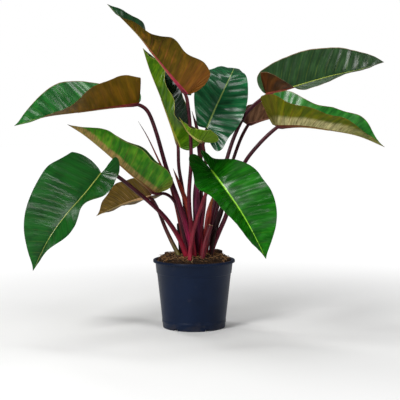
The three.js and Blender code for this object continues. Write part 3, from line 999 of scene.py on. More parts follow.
class ChipRecipe(Recipe):
    """Strews angular chips over the soil."""

    def __init__(self) -> None:
        """Lay out the tree."""
        inputs = {
            "Density": 30000.0, "Gap": 0.0025, "Least": 0.3, "Most": 1.0, "Size": 0.004, "Seed": 4,
        }
        super().__init__("chips", inputs)
        seed = self.given("Seed")
        spread = {
            0: self.given("Geometry"), "Distance Min": self.given("Gap"),
            "Density Max": self.given("Density"), "Density Factor": self.carried("open"), "Seed": seed,
        }
        settings = {"distribute_method": "POISSON"}
        points = self.node("GeometryNodeDistributePointsOnFaces", settings, spread)
        ball = {"Radius": self.given("Size"), "Subdivisions": 1}
        lump = self.node("GeometryNodeMeshIcoSphere", inputs=ball)
        place = self.node("GeometryNodeInputPosition")
        lump = self.moved(lump, self.scaled(place, self.noise(place, 300.0, 1.0) - 0.5))
        shape = self.random((0.5, 0.4, 0.2), (1.3, 0.9, 0.6), seed, "FLOAT_VECTOR")
        size = self.random(self.given("Least"), self.given("Most"), seed)
        turns = ((-0.5, -0.5, 0.0), (0.5, 0.5, FULL_TURN))
        self.close(self.strew(points, lump, turns, self.scaled(shape, size)))


class FibreRecipe(Recipe):
    """Strews bent coconut fibres over the soil."""

    def __init__(self) -> None:
        """Lay out the tree."""
        inputs = {"Density": 17000.0, "Length": 0.02, "Girth": 0.0005, "Tilt": 0.4, "Seed": 9}
        super().__init__("fibres", inputs)
        seed = self.given("Seed")
        density = self.given("Density") * self.carried("open")
        settings = {"distribute_method": "RANDOM"}
        spread = {0: self.given("Geometry"), "Density": density, "Seed": seed}
        points = self.node("GeometryNodeDistributePointsOnFaces", settings, spread)
        half = self.given("Length") * 0.5
        bow = {
            "Resolution": 7,
            "Start": self.combined(-half, 0.0, 0.0),
            "Start Handle": self.combined(half * -0.5, half * 0.7, half * 0.35),
            "End Handle": self.combined(half * 0.4, half * -0.6, half * 0.5),
            "End": self.combined(half, half * 0.2, half * -0.1),
        }
        ring = {"Resolution": 4, "Radius": self.given("Girth")}
        line = self.node("GeometryNodeCurvePrimitiveBezierSegment", inputs=bow)
        section = self.node("GeometryNodeCurvePrimitiveCircle", inputs=ring)
        strand = self.node("GeometryNodeCurveToMesh", inputs={0: line, 1: section, 3: True})
        tilt = self.given("Tilt")
        turns = (self.combined(-tilt, -tilt, 0.0), self.combined(tilt, tilt, FULL_TURN))
        shape = self.random((0.4, 0.3, 0.5), (1.5, 1.6, 1.4), seed, "FLOAT_VECTOR")
        self.close(self.strew(points, strand, turns, shape))


class Recipes:
    """The node trees that several pieces share."""

    def __init__(self) -> None:
        """Lay out every tree once."""
        self.rod = RodRecipe()
        self.relief = ReliefRecipe()
        self.chips = ChipRecipe()
        self.fibres = FibreRecipe()


@dataclass
class Rod:
    """A rod along a route, with its girth along it, that is flatter than it is wide."""

    name: str
    route: Sequence[Point]
    radii: Keys
    flat: float = 1.0
    rings: int = 72
    sides: int = 20
    groove: float = 0.0
    tip: float = 1.0
    tip_reach: float = 0.03
    neck: float = 1.0
    close_rings: Keys = (0.985, 0.993, 0.9965, 0.9985)

    def girths(self, t: np.ndarray) -> np.ndarray:
        """The radius at fractions of the length, drawn in at the tip."""
        close = np.clip((t - 1 + self.tip_reach) / self.tip_reach, 0, 1)
        return keyed(self.radii, t, 0.03) * (1 - (1 - self.tip) * close**2)

    def build(self, recipes: Recipes, finish: bpy.types.Material) -> bpy.types.Object:
        """Sweep the rod.

        Args:
            recipes: The shared node trees.
            finish: Its material.

        Returns:
            The piece.
        """
        route = Route(self.route)
        t = np.unique(np.concatenate([np.linspace(0, 1, self.rings + 1), self.close_rings]))
        middle = route.point(t)
        tangent = route.tangent(t)
        across = unit(np.cross([0.0, 1.0, 0.0], tangent))
        carried = {
            "girth": self.girths(t) * MM,
            "rise": t / self.neck,
            "reach": t * route.length,
            "middle": middle * MM,
            "through": np.cross(tangent, across),
        }
        edges = [(k, k + 1) for k in range(len(t) - 1)]
        mesh = mesh_of(f"{self.name}_route", middle, [], carried, edges)
        values = {"Sides": self.sides, "Thickness": self.flat, "Groove": self.groove}
        return smoothed(recipes.rod.make(self.name, mesh, finish, values), 60)


@dataclass
class Leaf:
    """A blade on its stalk.

    The keys of face, fold and wide run from the stalk to the tip. fold, wide, lobe, wave and lift
    are given for each half. fold is in degrees, wide and lobe are against the outline, and wave and
    lift are in blade lengths.
    """

    name: str
    rib: Sequence[Point]
    face: Sequence[Point]
    fold: Pair
    wide: Pair
    lobe: tuple[float, float]
    stem: Sequence[Point]
    radii: tuple[float, float]
    skin: LeafSkin
    stalk_skin: StalkSkin
    wave: tuple[float, float] = (0.012, 0.012)
    lift: tuple[float, float] = (0.0, 0.0)
    quilt: float = 0.8
    cockle: float = 1.6
    seed: float = 0.0
    thickness: float = 1.1
    margin: float = 0.6
    ridge: float = 2.8
    ridge_width: float = 3.4
    fan: float = 0.3
    lobe_reach: float = 0.145
    waves: int = 3
    later_wave: float = 0.4
    rows: int = 112
    outline: Sequence[tuple[float, float]] = ARROW
    columns: Keys = (
        0, 0.012, 0.024, 0.04, 0.065, 0.1, 0.15, 0.21, 0.28, 0.36, 0.44, 0.52, 0.6, 0.68, 0.76, 0.84,
        0.91, 0.96, 0.988, 1,
    )
    under_spots: Keys = (0.0, 0.05, 0.11, 0.18, 0.26, 0.36, 0.48)
    under_shares: Keys = (1.0, 0.78, 0.58, 0.44, 0.34, 0.26, 0.17)

    def __post_init__(self) -> None:
        """Lay the midrib."""
        self.midrib = Route(self.rib)

    def upward(self, t: np.ndarray) -> np.ndarray:
        """The way that the upper side looks at fractions of the midrib.

        Args:
            t: The fractions.

        Returns:
            The directions, square to the midrib.
        """
        look = unit(np.stack([keyed([way[axis] for way in self.face], t) for axis in range(3)], -1))
        tangent = self.midrib.tangent(t)
        return unit(look - tangent * np.sum(look * tangent, -1, keepdims=True))

    def half(self, side: Side) -> dict[str, np.ndarray]:
        """Lay out one half of the upper side.

        Args:
            side: Which half.

        Returns:
            Arrays of rows by columns: place, facing, and where each point is on the blade.
        """
        sign = 1 if side is Side.LEFT else -1
        edge = Route([(x, y, 0) for x, y in self.outline]).point(np.linspace(0, 1, self.rows + 1))
        edge_x, edge_y = edge[:, :1], edge[:, 1:2]
        u = np.linspace(0, 1, self.rows + 1)[:, None]
        s = np.array(self.columns)[None, :]
        reach = np.where(edge_x < 0, edge_x * self.lobe[side.value], edge_x)
        share = np.clip((u - self.fan) / (1 - self.fan), 0, 1)
        start = 0.9 * share**1.15 + 0.1 * share**3
        x = start + (reach - start) * s**1.25
        y = edge_y * keyed(self.wide[side.value], edge_x) * s
        fold = np.radians(keyed(self.fold[side.value], x))
        back = np.minimum(x, 0)
        raised = self.lift[side.value] * (back / self.lobe_reach) ** 2
        phase = 0 if side is Side.LEFT else self.later_wave
        fade = s * s * np.clip((x + 0.1) * 5, 0, 1) * np.clip((1 - x) * 6, 0, 1)
        wave = self.wave[side.value] * np.sin(2 * np.pi * (self.waves * x + phase)) * fade
        normal = self.upward(x)
        left = unit(np.cross(normal, self.midrib.tangent(x)))
        length = self.midrib.length
        place = self.midrib.point(x) + self.midrib.tangent(np.zeros(1)) * (back * length)[..., None]
        place = place + left * (sign * y * np.cos(fold) * length)[..., None]
        place = place + normal * ((y * np.sin(fold) + raised + wave) * length)[..., None]
        facing = normal * np.cos(fold)[..., None] - left * (sign * np.sin(fold))[..., None]
        gap = np.hypot(y * length, back * length)
        row = np.broadcast_to(u, x.shape)
        across = np.broadcast_to(s, x.shape)
        return {
            "place": place, "facing": facing, "along": x, "gap": gap, "row": row, "across": across,
        }

    def sheet(self) -> dict[str, np.ndarray]:
        """Join the halves at the midrib and lay out the underside.

        Returns:
            The arrays of a half, across the whole blade, with the places of the underside as lower.
        """
        halves = [self.half(side) for side in Side]
        whole = {}
        for key in halves[0]:
            left, right = halves[0][key], halves[1][key]
            whole[key] = np.concatenate([left[:, ::-1], right[:, 1:]], axis=1)
        middle = len(self.columns) - 1
        facing = whole["facing"]
        facing[:, middle] = unit(halves[0]["facing"][:, 0] + halves[1]["facing"][:, 0])
        facing[-1] = facing[-1, middle]
        along = np.clip(whole["along"], 0, 1)
        ridge = self.ridge * (1 - along) ** 0.7 * np.exp(-((whole["gap"] / self.ridge_width) ** 2))
        fade = np.maximum(whole["across"], along**3)
        depth = np.maximum(self.thickness + (self.margin - self.thickness) * fade, ridge)
        whole["lower"] = whole["place"] - facing * depth[..., None]
        return whole

    def blade_mesh(self) -> bpy.types.Mesh:
        """Make the closed sheet of the blade.

        Returns:
            The mesh, which carries where each point is on the blade.
        """
        sheet = self.sheet()
        flat = {key: values.reshape(-1, *values.shape[2:]) for key, values in sheet.items()}
        _, first, same = np.unique(
            np.round(flat["place"], 2), axis=0, return_index=True, return_inverse=True
        )
        grid = same.reshape(sheet["along"].shape)
        count = len(first)
        corners = (grid[:-1, :-1], grid[1:, :-1], grid[1:, 1:], grid[:-1, 1:])
        top = []
        for quad in np.stack(corners, -1).reshape(-1, 4).tolist():
            ring = [corner for k, corner in enumerate(quad) if corner != quad[k - 1]]
            if len(set(ring)) == len(ring) and len(ring) > 2:
                top.append(ring[::-1])
        sides = [(face[k - 1], face[k]) for face in top for k in range(len(face))]
        known = set(sides)
        rim = [(p, q) for p, q in sides if (q, p) not in known]
        faces = top + [[corner + count for corner in reversed(face)] for face in top]
        faces += [[q, p, p + count, q + count] for p, q in rim]
        points = np.concatenate([flat["place"][first], flat["lower"][first]])
        titles = ("row", "across", "along", "gap", "facing")
        carried = {title: np.concatenate([flat[title][first]] * 2) for title in titles}
        carried["under"] = np.repeat([0.0, 1.0], count)
        return mesh_of(f"blade_{self.name}_sheet", points, faces, carried)

    def stalk(self) -> Rod:
        """The stalk as a rod: up from the soil, then along the underside of the midrib.

        Returns:
            The rod, drawn in under the blade until the midrib's own ridge takes over.
        """
        foot, neck = self.radii
        spots, shares = np.array(self.under_spots), np.array(self.under_shares)
        depths = neck * shares + 0.7
        under = self.midrib.point(spots) - self.upward(spots) * depths[:, None]
        path = [*self.stem, *(tuple(place) for place in under.tolist())]
        route = Route(path)
        t = np.linspace(0, 1, 241)
        places = route.point(t)
        marks = [t[np.argmin(np.linalg.norm(places - place, axis=1))] for place in under]
        start = marks[0]
        free = neck + (foot - neck) * (1 - np.clip(t / start, 0, 1)) ** 2
        radii = np.where(t < start, free, neck * np.interp(t, marks, shares))
        return Rod(f"petiole_{self.name}", path, radii.tolist(), rings=96, groove=0.12, neck=float(start))

    def build(self, recipes: Recipes) -> None:
        """Build and dress the blade and its stalk.

        Args:
            recipes: The shared node trees.
        """
        skin = self.skin
        relief = {"Quilt": self.quilt * MM, "Cockle": self.cockle * MM}
        values = {"Veins": skin.veins, **relief, "Seed": self.seed}
        finish = skin.material(f"leaf skin {self.name}")
        blade = recipes.relief.make(f"leaf_{self.name}", self.blade_mesh(), finish, values)
        hand_in(smoothed(blade, 70), "blade", f"blade_{self.name}")
        stalk_skin = replace(self.stalk_skin, costa=skin.rib_under, costa_far=skin.rib_far)
        stalk = self.stalk().build(recipes, stalk_skin.material(f"stalk skin {self.name}"))
        hand_in(stalk, "stalk", f"stalk_{self.name}")


@dataclass
class Sheath:
    """A bud sheath or the stub of an old stalk."""

    name: str
    route: Sequence[Point]
    radii: Keys
    flat: float
    skin: StalkSkin
    top: Top = Top.POINTED
    blunt: float = 0.93
    cut_reach: float = 0.01

    def drawn_in(self) -> tuple[float, float]:
        """How thick the top is against the rod, and how far down it starts to draw in."""
        ends = {Top.POINTED: (0.35, 0.08), Top.CUT: (self.blunt, self.cut_reach)}
        return ends.get(self.top, (0.6, 0.05))

    def build(self, recipes: Recipes) -> None:
        """Build and dress the sheath.

        Args:
            recipes: The shared node trees.
        """
        tip, reach = self.drawn_in()
        rod = Rod(f"bud_{self.name}", self.route, self.radii, self.flat, tip=tip, tip_reach=reach)
        piece = rod.build(recipes, self.skin.material(f"sheath skin {self.name}"))
        hand_in(piece, "sheath", self.name)


@dataclass
class Pot:
    """The moulded pot: lip, collar band, tapering wall, foot ring and drainage notches."""

    height: float = 200.0
    rim: float = 120.0
    collar_top: float = 113.5
    collar_foot: float = 110.3
    collar_height: float = 161.0
    wall_top: float = 108.5
    base: float = 91.5
    wall: float = 2.5
    foot_ring: float = 6.0
    floor: float = 3.5
    pad: float = 30.0
    notches: int = 6
    notch_width: float = 14.0
    notch_height: float = 5.5
    first_notch: float = -125.0
    segments: int = 160
    finish: NurseryPlastic = field(default_factory=NurseryPlastic)

    def profile(self) -> list[tuple[float, float]]:
        """The section of the pot, radius and height, from its underside round to its inner floor.

        Returns:
            The corners of the section.
        """
        base, height, rim, wall, under = self.base, self.height, self.rim, self.wall, self.foot_ring
        top, foot, step, collar = self.collar_top, self.collar_foot, self.wall_top, self.collar_height
        pad, inner = self.pad, self.foot_ring + self.floor
        return [
            (0, 0), (pad - 0.6, 0), (pad, 0.6), (pad, under - 0.5), (pad + 0.6, under),
            (base - 5, under), (base - 4.5, under - 0.5), (base - 4, 0.4), (base - 3.6, 0),
            (base - 0.8, 0), (base - 0.2, 0.3), (base, 0.8), (base + 1.2, 14.6), (base + 1.5, 15.4),
            (base + 2.2, 16.1), (base + 2.4, 16.8), (base + 2.8, 22.1), (base + 2.7, 23.2),
            (base + 2.2, 24), (step - 0.1, collar - 1.6), (step + 0.4, collar - 0.8),
            (foot - 0.6, collar - 0.3), (foot, collar + 0.4), (top - 0.1, height - 8.6),
            (top + 0.5, height - 7.9), (rim - 1.6, height - 7.5), (rim - 0.5, height - 7.2),
            (rim, height - 6.4), (rim, height - 1.8), (rim - 0.4, height - 0.7),
            (rim - 1.5, height - 0.05), (rim - 2.2, height), (top + 0.6, height),
            (top - 1, height - 0.3), (top - 2.1, height - 1.2), (top - wall, height - 2.5),
            (foot - wall, collar - 2), (step - wall, collar - 3), (base - 0.4, inner + 3),
            (base - 1.5, inner + 0.8), (base - 3.5, inner), (0, inner),
        ]

    def notch_cutter(self) -> bpy.types.Object:
        """The blocks that cut the drainage notches out of the lower edge.

        Returns:
            The blocks, as one object that the pot doesn't keep.
        """
        blocks = bmesh.new()
        middle = (self.base - 2) * MM
        size = Matrix.Diagonal((16 * MM, self.notch_width * MM, 2 * self.notch_height * MM, 1))
        for k in range(self.notches):
            angle = math.radians(self.first_notch + 360 * k / self.notches)
            spot = Matrix.Translation((middle * math.cos(angle), middle * math.sin(angle), 0))
            bmesh.ops.create_cube(blocks, size=1, matrix=spot @ Matrix.Rotation(angle, 4, "Z") @ size)
        mesh = bpy.data.meshes.new("notches")
        blocks.to_mesh(mesh)
        blocks.free()
        return placed("notches", mesh)

    def build(self) -> None:
        """Build the pot, cut its notches and dress it."""
        piece = lathed("nursery_pot", self.profile(), self.segments)
        cutter = self.notch_cutter()
        cut = piece.modifiers.new("notches", "BOOLEAN")
        cut.object = cutter
        cut.solver = "EXACT"
        graph = bpy.context.evaluated_depsgraph_get()
        made = bpy.data.meshes.new_from_object(piece.evaluated_get(graph), depsgraph=graph)
        piece.modifiers.clear()
        piece.data = made
        bpy.data.objects.remove(cutter)
        made.materials.clear()
        made.materials.append(self.finish.material("navy plastic"))
        hand_in(smoothed(piece, 35), "pot_plastic", "pot")


@dataclass
class Soil:
    """The potting mix: body, bark, chips, coconut fibres and a few roots at the surface."""

    edge_height: float = 194.0
    crown: float = 22.0
    roughness: float = 2.4
    edge: float = 111.0
    rings: int = 74
    turns: int = 160
    strewn: tuple[float, float] = (4.0, 108.0)
    strewn_rings: int = 25
    strewn_turns: int = 60
    small_lumps: int = 7
    lump_tilt: float = 50.0
    lump_seed: int = 11
    inside: Sequence[tuple[float, float]] = (
        (0, 9.8), (87.65, 9.8), (90.75, 12.8), (105.65, 158.3), (107.45, 159.3), (110.3, 194),
    )

    def heap(self, x: np.ndarray, y: np.ndarray) -> np.ndarray:
        """The height of the soil at places.

        Args:
            x: Their places along X.
            y: Their places along Y.

        Returns:
            The height at each place.
        """
        radius = np.hypot(x, y)
        rough = np.sin(0.31 * x + 0.9) * np.cos(0.27 * y) + 0.8 * np.sin(0.17 * x - 0.23 * y)
        smooth = self.edge_height + self.crown * (1 - (radius / self.edge) ** 5)
        return smooth + rough * self.roughness * np.clip((self.edge - radius) / 8, 0, 1)

    def crumbs(self, x: np.ndarray, y: np.ndarray) -> np.ndarray:
        """Small lumps over the heap, which fade out at its edge.

        Args:
            x: The places along X.
            y: The places along Y.

        Returns:
            How far the lumps rise over the heap or sink into it.
        """
        lumps = [noise.fractal(Vector((a * 0.11, b * 0.11, 3.7)), 0.9, 2.1, 4) for a, b in zip(x, y)]
        fade = np.clip((self.edge - np.hypot(x, y)) / 6, 0, 1)
        return np.array(lumps) * 2.2 * fade

    def body(self) -> bpy.types.Object:
        """The closed body of the mix.

        Returns:
            The piece.
        """
        spread = np.linspace(1, 0, self.rings + 1)[1:-1] * self.inside[-1][0]
        section = [*self.inside, *((radius, None) for radius in spread), (0, None)]
        piece = lathed("potting_mix", section, self.turns, lambda x, y: self.heap(x, y) + self.crumbs(x, y))
        piece.data.materials.append(PottingMix().material("potting mix"))
        return smoothed(piece, 80)

    def surface(self, reach: float) -> bpy.types.Mesh:
        """The open top that chips and fibres are strewn on, out to a radius.

        Args:
            reach: The radius.

        Returns:
            The mesh, which carries where it is open to them.
        """
        radii = np.linspace(*self.strewn, self.strewn_rings)
        turns = self.strewn_turns
        angles = np.linspace(0, 2 * np.pi, turns, endpoint=False)
        x = np.outer(radii, np.cos(angles)).ravel()
        y = np.outer(radii, np.sin(angles)).ravel()
        faces = []
        for low in range(0, turns * (len(radii) - 1), turns):
            high = low + turns
            for j in range(turns):
                n = (j + 1) % turns
                faces.append([low + j, high + j, high + n, low + n])
        allowed = np.clip((reach - np.hypot(x, y)) / 3, 0, 1)
        points = np.stack([x, y, self.heap(x, y) + 0.4], -1)
        return mesh_of("strewn", points, faces, {"open": allowed})

    def lumps(self) -> bpy.types.Object:
        """The larger pieces of bark.

        Returns:
            The piece.
        """
        random = seeded(self.lump_seed)
        bark = [(70, 22, 26, 16, 20), (-80, 6, 16, 11, 14)]
        for _ in range(self.small_lumps):
            angle = next(random) * 2 * math.pi
            radius = 62 + next(random) * 34
            long = 9 + next(random) * 9
            bark.append((radius * math.cos(angle), radius * math.sin(angle), long, long * 0.6, long * 0.5))
        shape = bmesh.new()
        for x, y, *size in bark:
            tilts = [next(random) * self.lump_tilt - self.lump_tilt / 2 for _ in range(2)]
            rotation = Euler([math.radians(turn) for turn in (*tilts, next(random) * 180)]).to_matrix()
            height = float(self.heap(np.array(x), np.array(y))) + size[2] * 0.15
            middle = Vector((x, y, height)) * MM
            before = len(shape.verts)
            cube = bmesh.ops.create_cube(shape, size=1)["verts"]
            edges = list({edge for corner in cube for edge in corner.link_edges})
            bmesh.ops.subdivide_edges(shape, edges=edges, cuts=4, use_grid_fill=True)
            for corner in list(shape.verts)[before:]:
                place = corner.co.copy()
                round_off = 1 - 0.16 * max(place.length - 0.55, 0) / 0.3
                sized = Vector([part * side for part, side in zip(place, size)]) * round_off * MM
                wobble = noise.noise_vector(sized * 220 + middle * 90) * 0.0011
                corner.co = middle + rotation @ (sized + wobble)
        mesh = bpy.data.meshes.new("bark_lumps")
        shape.to_mesh(mesh)
        shape.free()
        piece = placed("bark_lumps", mesh)
        mesh.materials.append(Bark(paint(38, 26, 20), paint(92, 62, 42), 60.0).material("bark lump"))
        return smoothed(piece, 25)

    def roots(self, recipes: Recipes) -> None:
        """Build the roots that show at the surface.

        Args:
            recipes: The shared node trees.
        """
        finish = Bark(paint(110, 84, 58), paint(168, 134, 98), 60.0, 0.7).material("root skin")
        routes = {
            "root_front": [(-2, -78, 219), (-5, -85, 217), (-2, -92, 212), (-6, -98, 205), (-3, -101, 200)],
            "root_left": [(-34, -50, 219), (-46, -56, 217), (-55, -66, 215), (-60, -68, 209)],
            "root_back": [(10, 44, 224), (20, 58, 218), (14, 72, 213), (24, 84, 206)],
        }
        for name, route in routes.items():
            rod = Rod(name, route, (1.7, 1.6, 1.3, 0.8), rings=28, sides=12, tip=0.4, tip_reach=0.1)
            hand_in(rod.build(recipes, finish), "soil", "soil")

    def build(self, recipes: Recipes) -> None:
        """Build and dress the soil.

        Args:
            recipes: The shared node trees.
        """
        hand_in(self.body(), "soil", "soil")
        hand_in(self.lumps(), "soil", "soil")
        chip = Bark(paint(22, 15, 10), paint(72, 50, 30), 90.0).material("bark chip")
        hand_in(recipes.chips.make("bark_chips", self.surface(107), chip), "soil", "soil")
        fibre = Bark(paint(46, 29, 16), paint(182, 136, 88), 70.0, 0.7).material("coconut fibre")
        hand_in(recipes.fibres.make("coconut_fibres", self.surface(102), fibre), "soil", "soil")
        self.roots(recipes)


MAROON = StalkSkin(shades(
    (0.0, 170, 20, 56), (0.14, 140, 20, 58), (0.34, 104, 24, 52), (0.8, 92, 26, 48), (1.0, 120, 42, 58),
))
CRIMSON = StalkSkin(shades(
    (0.0, 200, 16, 56), (0.2, 176, 20, 58), (0.45, 120, 26, 56), (0.9, 106, 28, 52), (1.0, 130, 50, 60),
))
OLIVE_FOOT = StalkSkin(shades(
    (0.0, 126, 130, 44), (0.26, 126, 112, 46), (0.44, 126, 50, 54), (0.8, 100, 30, 50), (1.0, 116, 50, 52),
))
MAGENTA_FOOT = StalkSkin(shades(
    (0.0, 214, 24, 96), (0.18, 196, 20, 90), (0.36, 128, 22, 62), (0.7, 88, 24, 46), (1.0, 106, 32, 50),
))
PINK = StalkSkin(shades(
    (0.0, 200, 40, 70), (0.3, 196, 56, 80), (0.7, 176, 56, 76), (1.0, 170, 70, 80),
))
WITHERED = StalkSkin(
    shades((0.0, 90, 40, 40), (0.5, 62, 30, 28), (1.0, 44, 28, 22)),
    streak=paint(110, 80, 60),
    gloss=0.6,
)

BRONZE = LeafSkin(
    top=paint(20, 92, 32), top_patch=paint(36, 112, 40),
    under=paint(110, 84, 6), under_patch=paint(126, 90, 12),
    rib_top=paint(150, 165, 90), rib_under=paint(130, 50, 44), margin=paint(130, 96, 40),
    flush=paint(100, 70, 14), flush_reach=0.05, wax=0.55,
)
DARK_BRONZE = LeafSkin(
    top=paint(16, 62, 30), top_patch=paint(24, 82, 36),
    under=paint(80, 66, 6), under_patch=paint(124, 86, 18),
    rib_top=paint(150, 165, 90), rib_under=paint(168, 48, 72), margin=paint(90, 76, 30),
    flush=paint(112, 66, 18), flush_reach=0.3, patches=(0.46, 0.7),
)
# The pale yellow margin line is partly the margin's own colour and partly a painted highlight along the
# curled edge.
LIME_EDGE = LeafSkin(
    top=paint(8, 40, 20), top_patch=paint(14, 58, 28),
    under=paint(56, 98, 4), under_patch=paint(88, 122, 12),
    rib_top=paint(120, 150, 80), rib_under=paint(140, 140, 50), margin=paint(184, 176, 84),
    flush=paint(60, 104, 10), flush_reach=0.1, gloss=0.2, wax=1.0,
)
BLUE_GREEN = LeafSkin(
    top=paint(8, 72, 38), top_patch=paint(16, 94, 50),
    under=paint(112, 142, 24), under_patch=paint(140, 160, 40),
    rib_top=paint(130, 156, 80), rib_under=paint(180, 170, 90), margin=paint(30, 90, 50),
    gloss=0.24, wax=0.42,
)
GREY_GREEN = LeafSkin(
    top=paint(28, 58, 26), top_patch=paint(40, 72, 36),
    under=paint(74, 46, 10), under_patch=paint(96, 58, 18),
    rib_top=paint(156, 170, 56), rib_under=paint(150, 70, 50), margin=paint(150, 120, 90),
    flush=paint(82, 42, 14), flush_reach=0.1, wax=0.6,
)
# The pale band along the underside's midrib is painted sheen.
OLIVE = LeafSkin(
    top=paint(30, 106, 30), top_patch=paint(54, 126, 44),
    under=paint(78, 92, 4), under_patch=paint(104, 104, 10),
    rib_top=paint(150, 165, 90), rib_under=paint(92, 48, 24), margin=paint(110, 84, 24),
    band=paint(190, 180, 128), painted_sheen_width=32.0, painted_sheen_end=0.8, vein_under=0.75,
    flush=paint(78, 74, 10), flush_reach=0.08, wax=0.5,
)
# The upper side darkens towards the stalk: painted shade.
DEEP_GREEN = LeafSkin(
    top=paint(18, 84, 22), top_patch=paint(12, 60, 18),
    under=paint(92, 96, 40), under_patch=paint(110, 104, 50),
    rib_top=paint(156, 168, 80), rib_under=paint(170, 100, 80), margin=paint(20, 66, 24),
    vein_top=0.09, rib_width=2.0, gloss=0.28, wax=0.6, shade=0.25,
)
# The underside's bright lime is partly its own colour and partly painted light shining through the blade;
# the pale band along its midrib is painted sheen.
LIME = LeafSkin(
    top=paint(16, 66, 22), top_patch=paint(28, 86, 30),
    under=paint(40, 108, 8), under_patch=paint(80, 132, 22),
    rib_top=paint(150, 165, 90), rib_under=paint(122, 84, 50), margin=paint(120, 120, 60),
    flush=paint(96, 96, 30), flush_reach=0.04, band=paint(156, 122, 72), painted_sheen_width=24.0,
    vein_under=0.6, dry_tip=0.05,
)
BROWN_BACK = LeafSkin(
    top=paint(24, 80, 30), top_patch=paint(30, 94, 36),
    under=paint(92, 72, 14), under_patch=paint(112, 86, 28),
    rib_top=paint(150, 165, 90), rib_under=paint(200, 160, 116), margin=paint(96, 70, 36),
    flush=paint(92, 60, 24), flush_reach=0.08, vein_under=0.6,
)
# The upper side darkens strongly towards the stalk: painted shade.
VIVID = LeafSkin(
    top=paint(10, 86, 4), top_patch=paint(24, 108, 10),
    under=paint(112, 44, 34), under_patch=paint(130, 90, 40),
    rib_top=paint(156, 226, 60), rib_under=paint(150, 60, 50), margin=paint(20, 84, 20),
    vein_top=0.07, rib_width=3.8, gloss=0.26, wax=0.32, shade=0.6,
)
YOUNG = LeafSkin(
    top=paint(70, 118, 4), top_patch=paint(98, 140, 14),
    under=paint(82, 124, 6), under_patch=paint(108, 148, 20),
    rib_top=paint(210, 210, 112), rib_under=paint(210, 210, 112), margin=paint(200, 200, 100),
    flush=paint(104, 146, 20), rib_width=3.4,
)
BROWN_GREY = LeafSkin(
    top=paint(20, 66, 30), top_patch=paint(34, 84, 40),
    under=paint(100, 66, 42), under_patch=paint(130, 94, 66),
    rib_top=paint(150, 165, 90), rib_under=paint(150, 100, 84), margin=paint(110, 86, 64),
    flush=paint(90, 54, 46), flush_reach=0.1,
)

